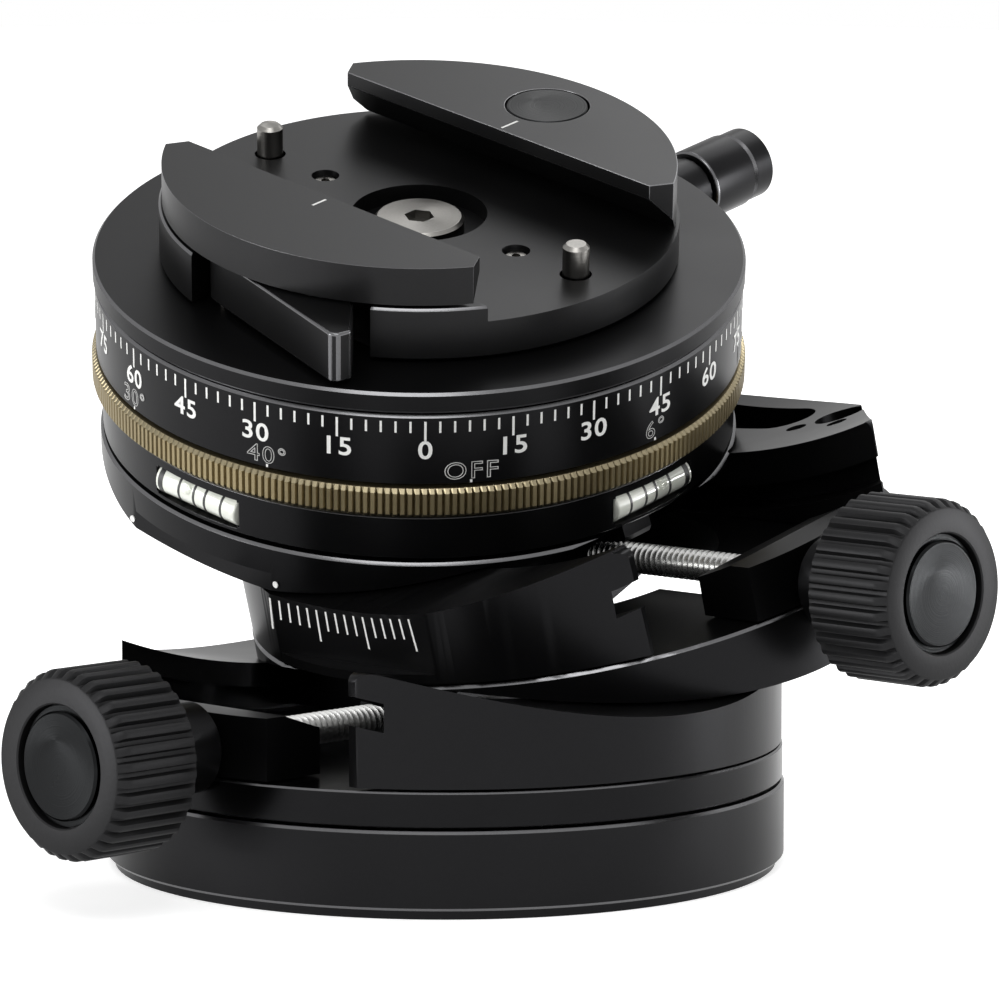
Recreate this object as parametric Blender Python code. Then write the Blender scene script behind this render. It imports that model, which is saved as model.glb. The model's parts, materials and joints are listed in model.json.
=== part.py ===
"""Two-axis geared levelling head for a tripod, with a click-stop pan unit and a dovetail clamp.

A round base carries a cradle whose two walls are hollowed to a large arc. The middle body has the
same arc on its underside, so it glides in the cradle and tilts about an axis high above it. A worm
with a knob drives a toothed rack under the middle body. A second, equal stage sits on the middle
body, turned a quarter turn. The level body that glides in it holds two spirit vials, a click-stop
selector ring, a degree drum and the turning plate with the camera clamp.

Units are metres and +Z is up. The origin is the centre of the foot. Both stages are modelled
tilted, as they stand in the picture.
"""

import math

import bmesh
import bpy

# Fits and meshing
gap = 0.0003
overrun = 0.002
edge_break = 0.0003
large_steps = 48
small_steps = 20
arc_steps = 20
rail_steps = 12
sharp_angle = math.radians(30)

# Both tilting stages
arc_radius = 0.088
stage_tilt = math.radians(15)
lower_floor_depth = 0.007
upper_floor_depth = 0.0065
stage_radius = 0.0373
wall_inset = 0.0001
wall_width = 0.0198
wall_length_share = 0.8203753
groove_depth_from_arc = 0.003
groove_height = 0.0029
right_groove_rim = 0.0159
right_lip_rim = 0.0195
left_groove_rim = 0.0139
left_lip_rim = 0.0167
arc_half_angle = math.radians(27)

# Runners and rack under each gliding body
rail_width = 0.005
rail_half_angle = math.radians(15.6)
rack_half_width = 0.0022
rack_knob_angle = math.radians(22)
rack_far_angle = math.radians(2.5)
rack_tooth_depth = 0.0006
rack_tooth_count = 38

# Worm, its bearing block and the knobs
worm_radius = 0.0017
lower_worm_rise = 0.0032
upper_worm_rise = 0.0018
worm_inner_start = 0.004
bracket_half_width = 0.0095
bracket_thickness = 0.0089
bracket_depth_from_arc = 0.0061
neck_radius = 0.0049
neck_bevel = 0.0006
lower_neck_length = 0.0077
upper_neck_length = 0.0055
knob_length = 0.011
knob_crest_radius = 0.0101
knob_root_radius = 0.0094
knob_ridge_count = 36
knob_face_radius = 0.0091
knob_chamfer_length = 0.0009
knob_cap_radius = 0.0062
knob_cap_thickness = 0.001
knob_cap_recess = 0.0001

# Base and middle body
base_step = 0.0002
foot_inset = 0.0009
foot_height = 0.001
base_height = 0.0094
lower_plate_height = 0.0038
bush_radius = 0.008
bush_bore_radius = 0.0041
middle_thickness = 0.00765
window_rim = 0.0208
window_slot_half_width = 0.0035
scale_flat_cut = 0.0021
scale_ledge_height = 0.0014

# Pockets in the rear wall of the upper stage
wall_pocket_depth = 0.0026
wall_pocket_width = 0.0073
wall_pocket_rim = 0.0035
wall_pocket_end = 0.0194
wall_hole_radius = 0.003
wall_hole_end = 0.0138
wall_hole_rim = 0.0078
wall_screw_radius = 0.0009
wall_screw_length = 0.0025
wall_screw_sink = 0.0004
wall_screw_places = ((0.0111, 0.0178), (0.0115, 0.0111))

# Level body
level_inset = 0.0008
slab_thickness = 0.00735
level_flat_cut = 0.0016
level_flat_height = 0.0041
housing_inset = 0.0003
housing_height = 0.0054
vial_radius = 0.0018
vial_length = 0.0128
vial_depth = 0.0018
vial_rise = 0.0024
click_ring_height = 0.0034
click_ring_width = 0.0058
drum_inset = 0.0005
drum_height = 0.0085
drum_floor = 0.0006
drum_wall = 0.0131

# Pan lock
lock_rise = 0.0036
lock_shaft_radius = 0.002
lock_neck_radius = 0.0038
lock_neck_length = 0.0094
lock_knob_radius = 0.0045
lock_knob_length = 0.007
lock_cap_radius = 0.0043
lock_cap_length = 0.0033

# Turning plate and clamp
plate_overhang = 0.0002
plate_height = 0.0024
screw_shank_radius = 0.003
clamp_radius = 0.0294
clamp_height = 0.0043
bed_height = 0.0018
bed_depth = 0.0138
well_radius = 0.0077
well_depth = 0.0021
screw_head_radius = 0.0051
screw_head_height = 0.0014
screw_shank_length = 0.0118
hex_radius = 0.00173
hex_depth = 0.001
plate_screw_radius = 0.0013
plate_screw_place = 0.0148
plate_screw_hole_depth = 0.0017
plate_screw_height = 0.0008
pin_radius = 0.0015
pin_rim = 0.0057
pin_height = 0.0037
pin_travel = 0.0034
pin_seat = 0.0024
pin_chamfer = 0.0003

# Jaws and lever
jaw_inset = 0.0004
jaw_height = 0.0044
jaw_lip_height = 0.0017
jaw_undercut_slope = 0.867
jaw_corner = 0.0028
jaw_edge_break = 0.0003
fixed_jaw_depth = 0.0165
moving_jaw_depth = 0.0147
jaw_cap_radius = 0.0047
jaw_cap_rim = 0.0076
jaw_cap_thickness = 0.0007
lever_angle = math.radians(13.5)
lever_pivot_x = -0.0059
lever_pivot_rim = 0.0043
lever_heel_radius = 0.0016
lever_length = 0.0249
lever_tip_break = 0.0007
lever_tip_inner = 0.0007
lever_corner_start = 0.0194
lever_corner_end = 0.0179
lever_corner_offset = 0.0045
lever_corner_break = 0.0003
lever_pin_radius = 0.0006
lever_pin_depth = 0.0012
lever_slot_left = -0.0083
lever_slot_left_mouth = -0.0069
lever_slot_behind = 0.0026
lever_slot_right = 0.0149
lever_slot_right_mouth = 0.0155
lever_slot_ahead = 0.0017

# Radii that follow from the stage's radius
base_radius = stage_radius + base_step
foot_radius = base_radius - foot_inset
wall_radius = stage_radius - wall_inset
channel_half_width = stage_radius - wall_width
right_groove_reach = stage_radius - right_groove_rim
right_lip_face = stage_radius - right_lip_rim
left_groove_reach = stage_radius - left_groove_rim
left_lip_face = stage_radius - left_lip_rim
rail_inner = channel_half_width - rail_width
window_radius = stage_radius - window_rim
wall_half_length = stage_radius * wall_length_share
bracket_radius = wall_radius
bracket_back = bracket_radius - bracket_thickness
scale_flat = stage_radius - scale_flat_cut
wall_pocket_outer = stage_radius - wall_pocket_rim
wall_pocket_inner = wall_pocket_outer - wall_pocket_width
wall_pocket_half_length = wall_half_length - wall_pocket_end
level_radius = stage_radius - level_inset
level_flat = level_radius - level_flat_cut
housing_radius = level_radius - housing_inset
vial_distance = housing_radius - vial_depth
click_ring_radius = stage_radius
drum_neck_radius = click_ring_radius - click_ring_width
drum_radius = click_ring_radius - drum_inset
hub_radius = drum_radius - drum_wall
plate_radius = drum_radius + plate_overhang

# Places on the clamp that follow from its radius
bed_face = clamp_radius - bed_depth
pin_place = clamp_radius - pin_rim
jaw_radius = clamp_radius - jaw_inset
fixed_jaw_face = jaw_radius - fixed_jaw_depth
moving_jaw_face = jaw_radius - moving_jaw_depth
jaw_cap_place = jaw_radius - jaw_cap_rim
lever_pivot_y = lever_pivot_rim - clamp_radius
lever_slot_wall = lever_pivot_y + lever_slot_behind
lever_slot_heel = lever_pivot_y - lever_slot_ahead

# Heights that follow from the sizes above
plate_bottom = base_height + gap
floor_height = plate_bottom + lower_plate_height
lower_axis_height = floor_height + lower_floor_depth + arc_radius
stage_pitch = middle_thickness + upper_floor_depth
lower_floor = -(arc_radius + lower_floor_depth)
upper_floor = -(arc_radius + upper_floor_depth)
level_bottom = -arc_radius
slab_top = level_bottom + slab_thickness
housing_bottom = slab_top + gap
housing_top = housing_bottom + housing_height
click_ring_bottom = housing_top + gap
click_ring_top = click_ring_bottom + click_ring_height
drum_bottom = click_ring_top + gap
drum_top = drum_bottom + drum_height
plate_low = drum_top + gap
plate_top = plate_low + plate_height
clamp_bottom = plate_top + gap
clamp_top = clamp_bottom + clamp_height
bed_top = clamp_top + bed_height
moving_jaw_bottom = bed_top + gap
jaw_top = moving_jaw_bottom + jaw_height
fixed_jaw_bottom = clamp_top + gap
hub_bottom = drum_bottom + drum_floor + gap
arc_tool_roof = arc_radius * math.cos(arc_half_angle) - middle_thickness


def material(name, colour, roughness, metallic):
    """A Principled material with a plain colour."""
    surface = bpy.data.materials.new(name)
    surface.use_nodes = True
    shader = surface.node_tree.nodes["Principled BSDF"]
    shader.inputs["Base Color"].default_value = (*colour, 1)
    shader.inputs["Roughness"].default_value = roughness
    shader.inputs["Metallic"].default_value = metallic
    surface.diffuse_color = (*colour, 1)
    return surface


def frame(name, parent=None, place=(0, 0, 0), turn=(0, 0, 0)):
    """An empty that carries the pieces of one moving body or one stage."""
    empty = bpy.data.objects.new(name, None)
    bpy.context.collection.objects.link(empty)
    empty.parent = parent
    empty.location = place
    empty.rotation_euler = turn
    return empty


def piece(name, mesh_data, surface, parent, place=(0, 0, 0), turn=(0, 0, 0)):
    """One named object from a finished bmesh."""
    bmesh.ops.recalc_face_normals(mesh_data, faces=mesh_data.faces)
    mesh = bpy.data.meshes.new(name)
    mesh_data.to_mesh(mesh)
    mesh_data.free()
    mesh.shade_smooth()
    mesh.set_sharp_from_angle(angle=sharp_angle)
    if surface:
        mesh.materials.append(surface)
    solid = bpy.data.objects.new(name, mesh)
    bpy.context.collection.objects.link(solid)
    solid.parent = parent
    solid.location = place
    solid.rotation_euler = turn
    return solid


def turned_mesh(profile, steps):
    """A closed (radius, height) outline turned about Z."""
    mesh = bmesh.new()
    rings = []
    for radius, height in profile:
        if radius == 0:
            centre = mesh.verts.new((0, 0, height))
            rings.append([centre] * steps)
            continue
        ring = []
        for step in range(steps):
            angle = math.pi * (2 * step + 1) / steps
            ring.append(mesh.verts.new((radius * math.cos(angle), radius * math.sin(angle), height)))
        rings.append(ring)
    for ring, following in zip(rings, rings[1:] + rings[:1]):
        for step in range(steps):
            after = (step + 1) % steps
            corners = [ring[step], ring[after], following[after], following[step]]
            corners = list(dict.fromkeys(corners))
            if len(corners) > 2:
                mesh.faces.new(corners)
    return mesh


def prism_mesh(outline, low, high):
    """A closed (x, y) outline raised from one height to another."""
    mesh = bmesh.new()
    bottom = [mesh.verts.new((x, y, low)) for x, y in outline]
    top = [mesh.verts.new((x, y, high)) for x, y in outline]
    mesh.faces.new(bottom)
    mesh.faces.new(top)
    for index in range(len(outline)):
        after = (index + 1) % len(outline)
        mesh.faces.new([bottom[index], bottom[after], top[after], top[index]])
    return mesh


def box_mesh(low, high):
    """A box between two corners."""
    outline = [(low[0], low[1]), (high[0], low[1]), (high[0], high[1]), (low[0], high[1])]
    return prism_mesh(outline, low[2], high[2])


def bar_mesh(section, half_length):
    """A closed (y, z) outline drawn along X, the same to both sides."""
    mesh = bmesh.new()
    start = [mesh.verts.new((-half_length, y, z)) for y, z in section]
    end = [mesh.verts.new((half_length, y, z)) for y, z in section]
    mesh.faces.new(start)
    mesh.faces.new(end)
    for index in range(len(section)):
        after = (index + 1) % len(section)
        mesh.faces.new([start[index], start[after], end[after], end[index]])
    return mesh


def arc_swept_mesh(section, half_angle, steps):
    """A closed (x, radius) section carried round the X axis, below it, the same to both sides."""
    mesh = bmesh.new()
    rows = []
    for step in range(steps + 1):
        angle = half_angle * (2 * step / steps - 1)
        row = []
        for x, radius in section:
            row.append(mesh.verts.new((x, radius * math.sin(angle), -radius * math.cos(angle))))
        rows.append(row)
    for row, following in zip(rows, rows[1:]):
        for index in range(len(section)):
            after = (index + 1) % len(section)
            mesh.faces.new([row[index], row[after], following[after], following[index]])
    mesh.faces.new(rows[0])
    mesh.faces.new(rows[-1])
    return mesh


def circle_points(radius, start, end, steps, centre=(0, 0)):
    """Points on a circle from one angle to another."""
    points = []
    for step in range(steps + 1):
        angle = start + (end - start) * step / steps
        points.append((centre[0] + radius * math.cos(angle), centre[1] + radius * math.sin(angle)))
    return points


def cutter(name, mesh_data, parent, place=(0, 0, 0), turn=(0, 0, 0)):
    """A shape that only serves to cut another."""
    shape = piece(name, mesh_data, None, parent, place, turn)
    shape.hide_render = True
    shape.display_type = "WIRE"
    return shape


def combine(solid, shape, operation="DIFFERENCE"):
    """A Boolean with one cutter."""
    step = solid.modifiers.new(shape.name, "BOOLEAN")
    step.operation = operation
    step.object = shape
    step.solver = "EXACT"


def drill(solid, radius, low, high, parent, place, name):
    """A round hole along Z."""
    rod = [(0, low), (radius, low), (radius, high), (0, high)]
    combine(solid, cutter(name, turned_mesh(rod, small_steps), parent, place))


def arc_tool(name, radius, parent):
    """Everything nearer to the tilt axis than a radius, as deep as a stage reaches."""
    section = []
    for step in range(arc_steps + 1):
        angle = arc_half_angle * (2 * step / arc_steps - 1)
        section.append((radius * math.sin(angle), -radius * math.cos(angle)))
    section.append((section[-1][0], -arc_tool_roof))
    section.append((section[0][0], -arc_tool_roof))
    return cutter(name, bar_mesh(section, base_radius + overrun), parent)


black = material("black_anodised", (0.018, 0.018, 0.019), 0.34, 0.85)
black_cap = material("black_turned_cap", (0.03, 0.032, 0.034), 0.24, 0.9)
black_grip = material("black_knurled_grip", (0.02, 0.02, 0.021), 0.5, 0.6)
steel = material("stainless_steel", (0.6, 0.59, 0.56), 0.25, 1.0)
worm_steel = material("worm_steel", (0.62, 0.62, 0.61), 0.2, 1.0)
bronze = material("olive_bronze_ring", (0.17, 0.135, 0.07), 0.42, 0.9)
vial_glass = material("vial_glass", (0.62, 0.64, 0.58), 0.12, 0.0)

for old in list(bpy.data.objects):
    bpy.data.objects.remove(old)

# Frames: each one sits on its joint's axis
lower_stage = frame("lower_stage", None, (0, 0, lower_axis_height))
middle_body = frame("middle_body", lower_stage, turn=(stage_tilt, 0, 0))
upper_stage = frame("upper_stage", middle_body, (0, 0, stage_pitch), (0, 0, math.pi / 2))
level_body = frame("level_body", middle_body, (0, 0, stage_pitch), (0, stage_tilt, 0))
level_stage = frame("level_stage", level_body, turn=(0, 0, math.pi / 2))
pan_axis = frame("pan_axis", level_body)
click_axis = frame("click_axis", level_body)

# Base disc with its inset foot and the bore for the tripod bush
base_profile = [
    (bush_radius + gap, 0),
    (foot_radius, 0),
    (foot_radius, foot_height),
    (base_radius - edge_break, foot_height),
    (base_radius, foot_height + edge_break),
    (base_radius, base_height - edge_break),
    (base_radius - edge_break, base_height),
    (bush_radius + gap, base_height),
]
piece("base_disc", turned_mesh(base_profile, large_steps), black, None)

# Threaded bush in the foot, drawn at the thread's inner diameter
bush_profile = [
    (bush_bore_radius, gap),
    (bush_radius, gap),
    (bush_radius, base_height),
    (bush_bore_radius, base_height),
]
piece("tripod_bush", turned_mesh(bush_profile, small_steps), steel, None)

# Floor of the lower cradle
lower_plate_profile = [
    (0, plate_bottom),
    (stage_radius - edge_break, plate_bottom),
    (stage_radius, plate_bottom + edge_break),
    (stage_radius, floor_height - edge_break),
    (stage_radius - edge_break, floor_height),
    (0, floor_height),
]
piece("lower_plate", turned_mesh(lower_plate_profile, large_steps), black, None)


def cradle_wall(name, side, floor, lip_face, groove_reach, parent):
    """One wall of a cradle: a slice of the disc with a hollow top and a groove for the runner."""
    end_angle = math.asin(wall_half_length / wall_radius)
    outline = circle_points(wall_radius, -end_angle, end_angle, large_steps // 4)
    outline.append((channel_half_width, wall_half_length))
    outline.append((channel_half_width, -wall_half_length))
    outline = [(side * x, y) for x, y in outline]
    crown = -math.sqrt((arc_radius + gap) ** 2 - wall_half_length ** 2) + overrun
    wall = piece(name, prism_mesh(outline, floor + gap, crown), black, parent)
    combine(wall, arc_tool(name + "_arc", arc_radius + gap, parent))
    inner = channel_half_width - overrun
    top = arc_radius + groove_depth_from_arc
    bottom = top + groove_height
    above = arc_radius - overrun
    section = [
        (inner, above),
        (lip_face, above),
        (lip_face, top),
        (groove_reach, top),
        (groove_reach, bottom),
        (inner, bottom),
    ]
    section = [(side * x, radius) for x, radius in section]
    groove = cutter(name + "_groove", arc_swept_mesh(section, arc_half_angle, arc_steps), parent)
    combine(wall, groove)
    return wall


def bearing_block(name, floor, worm_height, parent):
    """The block that carries the worm, cut to an arc that the gliding body clears."""
    spread = math.asin(bracket_half_width / bracket_radius)
    middle = -math.pi / 2
    outline = circle_points(bracket_radius, middle - spread, middle + spread, small_steps // 4)
    outline.append((bracket_half_width, -bracket_back))
    outline.append((-bracket_half_width, -bracket_back))
    block = piece(name, prism_mesh(outline, floor + gap, level_bottom), black, parent)
    combine(block, arc_tool(name + "_arc", arc_radius + bracket_depth_from_arc, parent))
    bore_radius = worm_radius + gap
    far = bracket_radius + overrun
    near = bracket_back - overrun
    bore = [(0, near), (bore_radius, near), (bore_radius, far), (0, far)]
    place = (0, 0, worm_height)
    turn = (math.pi / 2, 0, 0)
    combine(block, cutter(name + "_bore", turned_mesh(bore, small_steps), parent, place, turn))
    return block


def knurled_mesh(profile, ridges):
    """Rings of ridges: each profile entry gives crest radius, root radius and height."""
    mesh = bmesh.new()
    rings = []
    count = ridges * 2
    for crest, root, height in profile:
        ring = []
        for index in range(count):
            angle = math.tau * index / count
            radius = crest if index % 2 else root
            ring.append(mesh.verts.new((radius * math.cos(angle), radius * math.sin(angle), height)))
        rings.append(ring)
    for ring, following in zip(rings, rings[1:]):
        for index in range(count):
            after = (index + 1) % count
            mesh.faces.new([ring[index], ring[after], following[after], following[index]])
    mesh.faces.new(rings[0])
    mesh.faces.new(rings[-1])
    return mesh


def worm_drive(prefix, worm_height, neck_length, parent):
    """Worm, neck, knob and cap on one axis; local +Z points out of the head."""
    axis = frame(prefix + "_drive", parent, (0, 0, worm_height), (math.pi / 2, 0, 0))
    neck_start = stage_radius + gap
    knob_back = neck_start + neck_length + gap
    knob_front = knob_back + knob_length
    pocket = knob_front - knob_cap_thickness - knob_cap_recess - gap
    worm_end = (knob_back + pocket) / 2
    worm = [
        (0, worm_inner_start),
        (worm_radius - edge_break, worm_inner_start),
        (worm_radius, worm_inner_start + edge_break),
        (worm_radius, worm_end),
        (0, worm_end),
    ]
    piece(prefix + "_worm", turned_mesh(worm, small_steps), worm_steel, axis)
    bore_radius = worm_radius + gap
    neck = [
        (bore_radius, neck_start),
        (neck_radius - neck_bevel, neck_start),
        (neck_radius, neck_start + neck_bevel),
        (neck_radius, neck_start + neck_length),
        (bore_radius, neck_start + neck_length),
    ]
    piece(prefix + "_knob_neck", turned_mesh(neck, small_steps), black, axis)
    face_root = knob_face_radius
    rows = [
        (knob_root_radius, knob_root_radius, knob_back),
        (knob_crest_radius, knob_root_radius, knob_back + edge_break),
        (knob_crest_radius, knob_root_radius, knob_front - knob_chamfer_length),
        (face_root, face_root, knob_front),
    ]
    knob = piece(prefix + "_knob", knurled_mesh(rows, knob_ridge_count), black_grip, axis)
    near = bracket_radius
    bore = [(0, near), (bore_radius, near), (bore_radius, worm_end + gap), (0, worm_end + gap)]
    combine(knob, cutter(prefix + "_knob_bore", turned_mesh(bore, small_steps), axis))
    pocket_radius = knob_cap_radius + gap
    recess = [(0, pocket), (pocket_radius, pocket), (pocket_radius, knob_front + overrun)]
    recess.append((0, knob_front + overrun))
    combine(knob, cutter(prefix + "_knob_recess", turned_mesh(recess, small_steps), axis))
    cap_top = knob_front - knob_cap_recess
    cap = [
        (0, pocket + gap),
        (knob_cap_radius, pocket + gap),
        (knob_cap_radius, cap_top - edge_break),
        (knob_cap_radius - edge_break, cap_top),
        (0, cap_top),
    ]
    piece(prefix + "_knob_cap", turned_mesh(cap, small_steps), black_cap, axis)


def rail(name, side, lip_face, groove_reach, parent):
    """A runner: a neck beside the wall's lip and a foot that rides in the wall's groove."""
    neck = lip_face - gap
    reach = groove_reach - gap
    top = arc_radius + gap
    shoulder = arc_radius + groove_depth_from_arc + gap
    bottom = arc_radius + groove_depth_from_arc + groove_height - gap
    section = [
        (rail_inner, top),
        (neck, top),
        (neck, shoulder),
        (reach, shoulder),
        (reach, bottom),
        (rail_inner, bottom),
    ]
    section = [(side * x, radius) for x, radius in section]
    piece(name, arc_swept_mesh(section, rail_half_angle, rail_steps), black, parent)


def rack(name, worm_height, parent):
    """A toothed strip along the middle of the gliding body, clear above the worm."""
    tip = -worm_height - worm_radius - gap
    root = tip - rack_tooth_depth
    back = arc_radius + gap
    span = rack_knob_angle + rack_far_angle
    count = rack_tooth_count * 2
    section = []
    for index in range(count + 1):
        angle = span * index / count - rack_knob_angle
        radius = tip if index % 2 else root
        section.append((radius * math.sin(angle), -radius * math.cos(angle)))
    for index in range(rail_steps + 1):
        angle = rack_far_angle - span * index / rail_steps
        section.append((back * math.sin(angle), -back * math.cos(angle)))
    piece(name, bar_mesh(section, rack_half_width), worm_steel, parent)


def arc_disc(name, radius, top, parent):
    """A disc whose underside is an arc about the tilt axis."""
    low = level_bottom - overrun
    profile = [(0, low), (radius, low), (radius, top - edge_break), (radius - edge_break, top), (0, top)]
    disc = piece(name, turned_mesh(profile, large_steps), black, parent)
    combine(disc, arc_tool(name + "_arc", arc_radius, parent), "INTERSECT")
    return disc


# Lower stage, carried by the base
lower_worm_height = lower_floor + lower_worm_rise
cradle_wall("lower_wall_left", -1, lower_floor, left_lip_face, left_groove_reach, lower_stage)
cradle_wall("lower_wall_right", 1, lower_floor, right_lip_face, right_groove_reach, lower_stage)
bearing_block("lower_bearing_block", lower_floor, lower_worm_height, lower_stage)
worm_drive("lower", lower_worm_height, lower_neck_length, lower_stage)

# Middle body, gliding in the lower stage
middle_top = level_bottom + middle_thickness
middle = arc_disc("middle_disc", stage_radius, middle_top, middle_body)
window = [(0, level_bottom - overrun), (window_radius, level_bottom - overrun)]
window = window + [(window_radius, middle_top + overrun), (0, middle_top + overrun)]
combine(middle, cutter("middle_window", turned_mesh(window, large_steps // 2), middle_body))
slot_low = (0, -window_slot_half_width, level_bottom - overrun)
slot_end = bracket_back - gap
slot_high = (slot_end, window_slot_half_width, middle_top + overrun)
combine(middle, cutter("middle_window_slot", box_mesh(slot_low, slot_high), middle_body))
rail("middle_rail_left", -1, left_lip_face, left_groove_reach, middle_body)
rail("middle_rail_right", 1, right_lip_face, right_groove_reach, middle_body)
rack("middle_rack", lower_worm_height, middle_body)

# Upper stage, carried by the middle body and turned a quarter turn
upper_worm_height = upper_floor + upper_worm_rise
front_wall = cradle_wall(
    "upper_wall_front", -1, upper_floor, left_lip_face, left_groove_reach, upper_stage
)
rear_wall = cradle_wall(
    "upper_wall_rear", 1, upper_floor, right_lip_face, right_groove_reach, upper_stage
)
bearing_block("upper_bearing_block", upper_floor, upper_worm_height, upper_stage)
worm_drive("upper", upper_worm_height, upper_neck_length, upper_stage)

# The front wall is planed flat for the tilt scale, above a narrow ledge
flat_low = (-stage_radius - overrun, -wall_half_length, upper_floor + scale_ledge_height)
flat_high = (-scale_flat, wall_half_length, level_bottom + slab_thickness)
combine(front_wall, cutter("scale_flat", box_mesh(flat_low, flat_high), upper_stage))

# The rear wall's top has a long pocket, a round hole and two small screws
pocket_round = (wall_pocket_outer - wall_pocket_inner) / 2
pocket_centre = (wall_pocket_outer + wall_pocket_inner) / 2
pocket_end = wall_pocket_half_length - pocket_round
quarter = math.pi / 2
pocket_outline = circle_points(pocket_round, 0, 2 * quarter, small_steps // 2, (pocket_centre, pocket_end))
pocket_outline += circle_points(
    pocket_round, 2 * quarter, 4 * quarter, small_steps // 2, (pocket_centre, -pocket_end)
)
pocket_floor = -arc_radius - wall_pocket_depth
pocket_mesh = prism_mesh(pocket_outline, pocket_floor, level_bottom + slab_thickness)
combine(rear_wall, cutter("wall_pocket", pocket_mesh, upper_stage))
hole_place = (stage_radius - wall_hole_rim, wall_hole_end - wall_half_length, 0)
drill(rear_wall, wall_hole_radius, pocket_floor, slab_top, upper_stage, hole_place, "wall_hole")
for letter, (from_rim, from_end) in zip("ab", wall_screw_places):
    along = wall_half_length - from_end
    surface_height = -math.sqrt(arc_radius ** 2 - along ** 2)
    screw_top = surface_height - wall_screw_sink
    screw_low = screw_top - wall_screw_length
    screw_place = (stage_radius - from_rim, -along, 0)
    hole_radius = wall_screw_radius + gap
    drill(rear_wall, hole_radius, screw_low - gap, slab_top, upper_stage, screw_place, "screw_hole_" + letter)
    rod = [(0, screw_low), (wall_screw_radius, screw_low), (wall_screw_radius, screw_top), (0, screw_top)]
    rod_mesh = turned_mesh(rod, small_steps // 2)
    piece("upper_wall_screw_" + letter, rod_mesh, steel, upper_stage, screw_place)

# Level body: slab with its own arc, flat below the index dots
slab = arc_disc("level_slab", level_radius, slab_top, level_stage)
index_low = (-level_radius - overrun, -level_radius, level_bottom - overrun)
index_high = (-level_flat, level_radius, level_bottom + level_flat_height)
combine(slab, cutter("index_flat", box_mesh(index_low, index_high), level_stage))
rail("level_rail_front", -1, left_lip_face, left_groove_reach, level_stage)
rail("level_rail_rear", 1, right_lip_face, right_groove_reach, level_stage)
rack("level_rack", upper_worm_height, level_stage)

# Vial housing with two windows, and the vials lying in them
housing_profile = [
    (0, housing_bottom),
    (housing_radius, housing_bottom),
    (housing_radius, housing_top),
    (0, housing_top),
]
housing = piece("vial_housing", turned_mesh(housing_profile, large_steps), black, level_body)
vial_centre = housing_bottom + vial_rise
vial_profile = [
    (0, -vial_length / 2),
    (vial_radius - edge_break, -vial_length / 2),
    (vial_radius, -vial_length / 2 + edge_break),
    (vial_radius, vial_length / 2 - edge_break),
    (vial_radius - edge_break, vial_length / 2),
    (0, vial_length / 2),
]
vial_sides = (("vial_front", -math.pi / 2), ("vial_side", 0))
for vial_name, heading in vial_sides:
    bay = frame(vial_name + "_bay", level_body, (0, 0, vial_centre), (0, 0, heading))
    bay_half = vial_length / 2 + gap
    bay_low = (vial_distance - vial_radius - gap, -bay_half, -vial_rise - overrun)
    bay_high = (housing_radius + overrun, bay_half, vial_radius + gap)
    combine(housing, cutter(vial_name + "_window", box_mesh(bay_low, bay_high), bay))
    vial_mesh = turned_mesh(vial_profile, small_steps // 2)
    piece(vial_name, vial_mesh, vial_glass, bay, (vial_distance, 0, 0), (math.pi / 2, 0, 0))

# Click-stop selector ring round the drum's neck
ring_profile = [
    (drum_neck_radius + gap, click_ring_bottom),
    (click_ring_radius - edge_break, click_ring_bottom),
    (click_ring_radius, click_ring_bottom + edge_break),
    (click_ring_radius, click_ring_top - edge_break),
    (click_ring_radius - edge_break, click_ring_top),
    (drum_neck_radius + gap, click_ring_top),
]
piece("click_ring", turned_mesh(ring_profile, large_steps), bronze, click_axis)

# Degree drum: a cup whose neck passes through the click ring
drum_profile = [
    (0, click_ring_bottom),
    (drum_neck_radius, click_ring_bottom),
    (drum_neck_radius, drum_bottom),
    (drum_radius, drum_bottom),
    (drum_radius, drum_top),
    (hub_radius + gap, drum_top),
    (hub_radius + gap, drum_bottom + drum_floor),
    (0, drum_bottom + drum_floor),
]
drum = piece("scale_drum", turned_mesh(drum_profile, large_steps), black, level_body)

# Pan lock: a clamping screw through the drum's rear, with a stepped knob
lock_height = drum_bottom + lock_rise
lock_axis = frame("pan_lock_axis", level_body, (0, 0, lock_height), (-math.pi / 2, 0, 0))
lock_tip = hub_radius + gap
lock_bore_radius = lock_shaft_radius + gap
lock_bore = [(0, hub_radius - overrun), (lock_bore_radius, hub_radius - overrun)]
lock_bore += [(lock_bore_radius, drum_radius + overrun), (0, drum_radius + overrun)]
combine(drum, cutter("lock_bore", turned_mesh(lock_bore, small_steps), lock_axis))
lock_neck_start = click_ring_radius + gap
lock_neck_end = lock_neck_start + lock_neck_length
lock_screw = [
    (0, lock_tip),
    (lock_shaft_radius, lock_tip),
    (lock_shaft_radius, lock_neck_start),
    (lock_neck_radius, lock_neck_start),
    (lock_neck_radius, lock_neck_end),
    (0, lock_neck_end),
]
piece("pan_lock_screw", turned_mesh(lock_screw, small_steps), black, lock_axis)
lock_knob_start = lock_neck_end + gap
lock_knob_end = lock_knob_start + lock_knob_length
lock_knob = [
    (0, lock_knob_start),
    (lock_knob_radius - edge_break, lock_knob_start),
    (lock_knob_radius, lock_knob_start + edge_break),
    (lock_knob_radius, lock_knob_end - edge_break),
    (lock_knob_radius - edge_break, lock_knob_end),
    (0, lock_knob_end),
]
piece("pan_lock_knob", turned_mesh(lock_knob, small_steps), black, lock_axis)
lock_cap_start = lock_knob_end + gap
lock_cap_end = lock_cap_start + lock_cap_length
lock_cap = [
    (0, lock_cap_start),
    (lock_cap_radius, lock_cap_start),
    (lock_cap_radius, lock_cap_end - edge_break),
    (lock_cap_radius - edge_break, lock_cap_end),
    (0, lock_cap_end),
]
piece("pan_lock_cap", turned_mesh(lock_cap, small_steps), black_cap, lock_axis)

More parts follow.
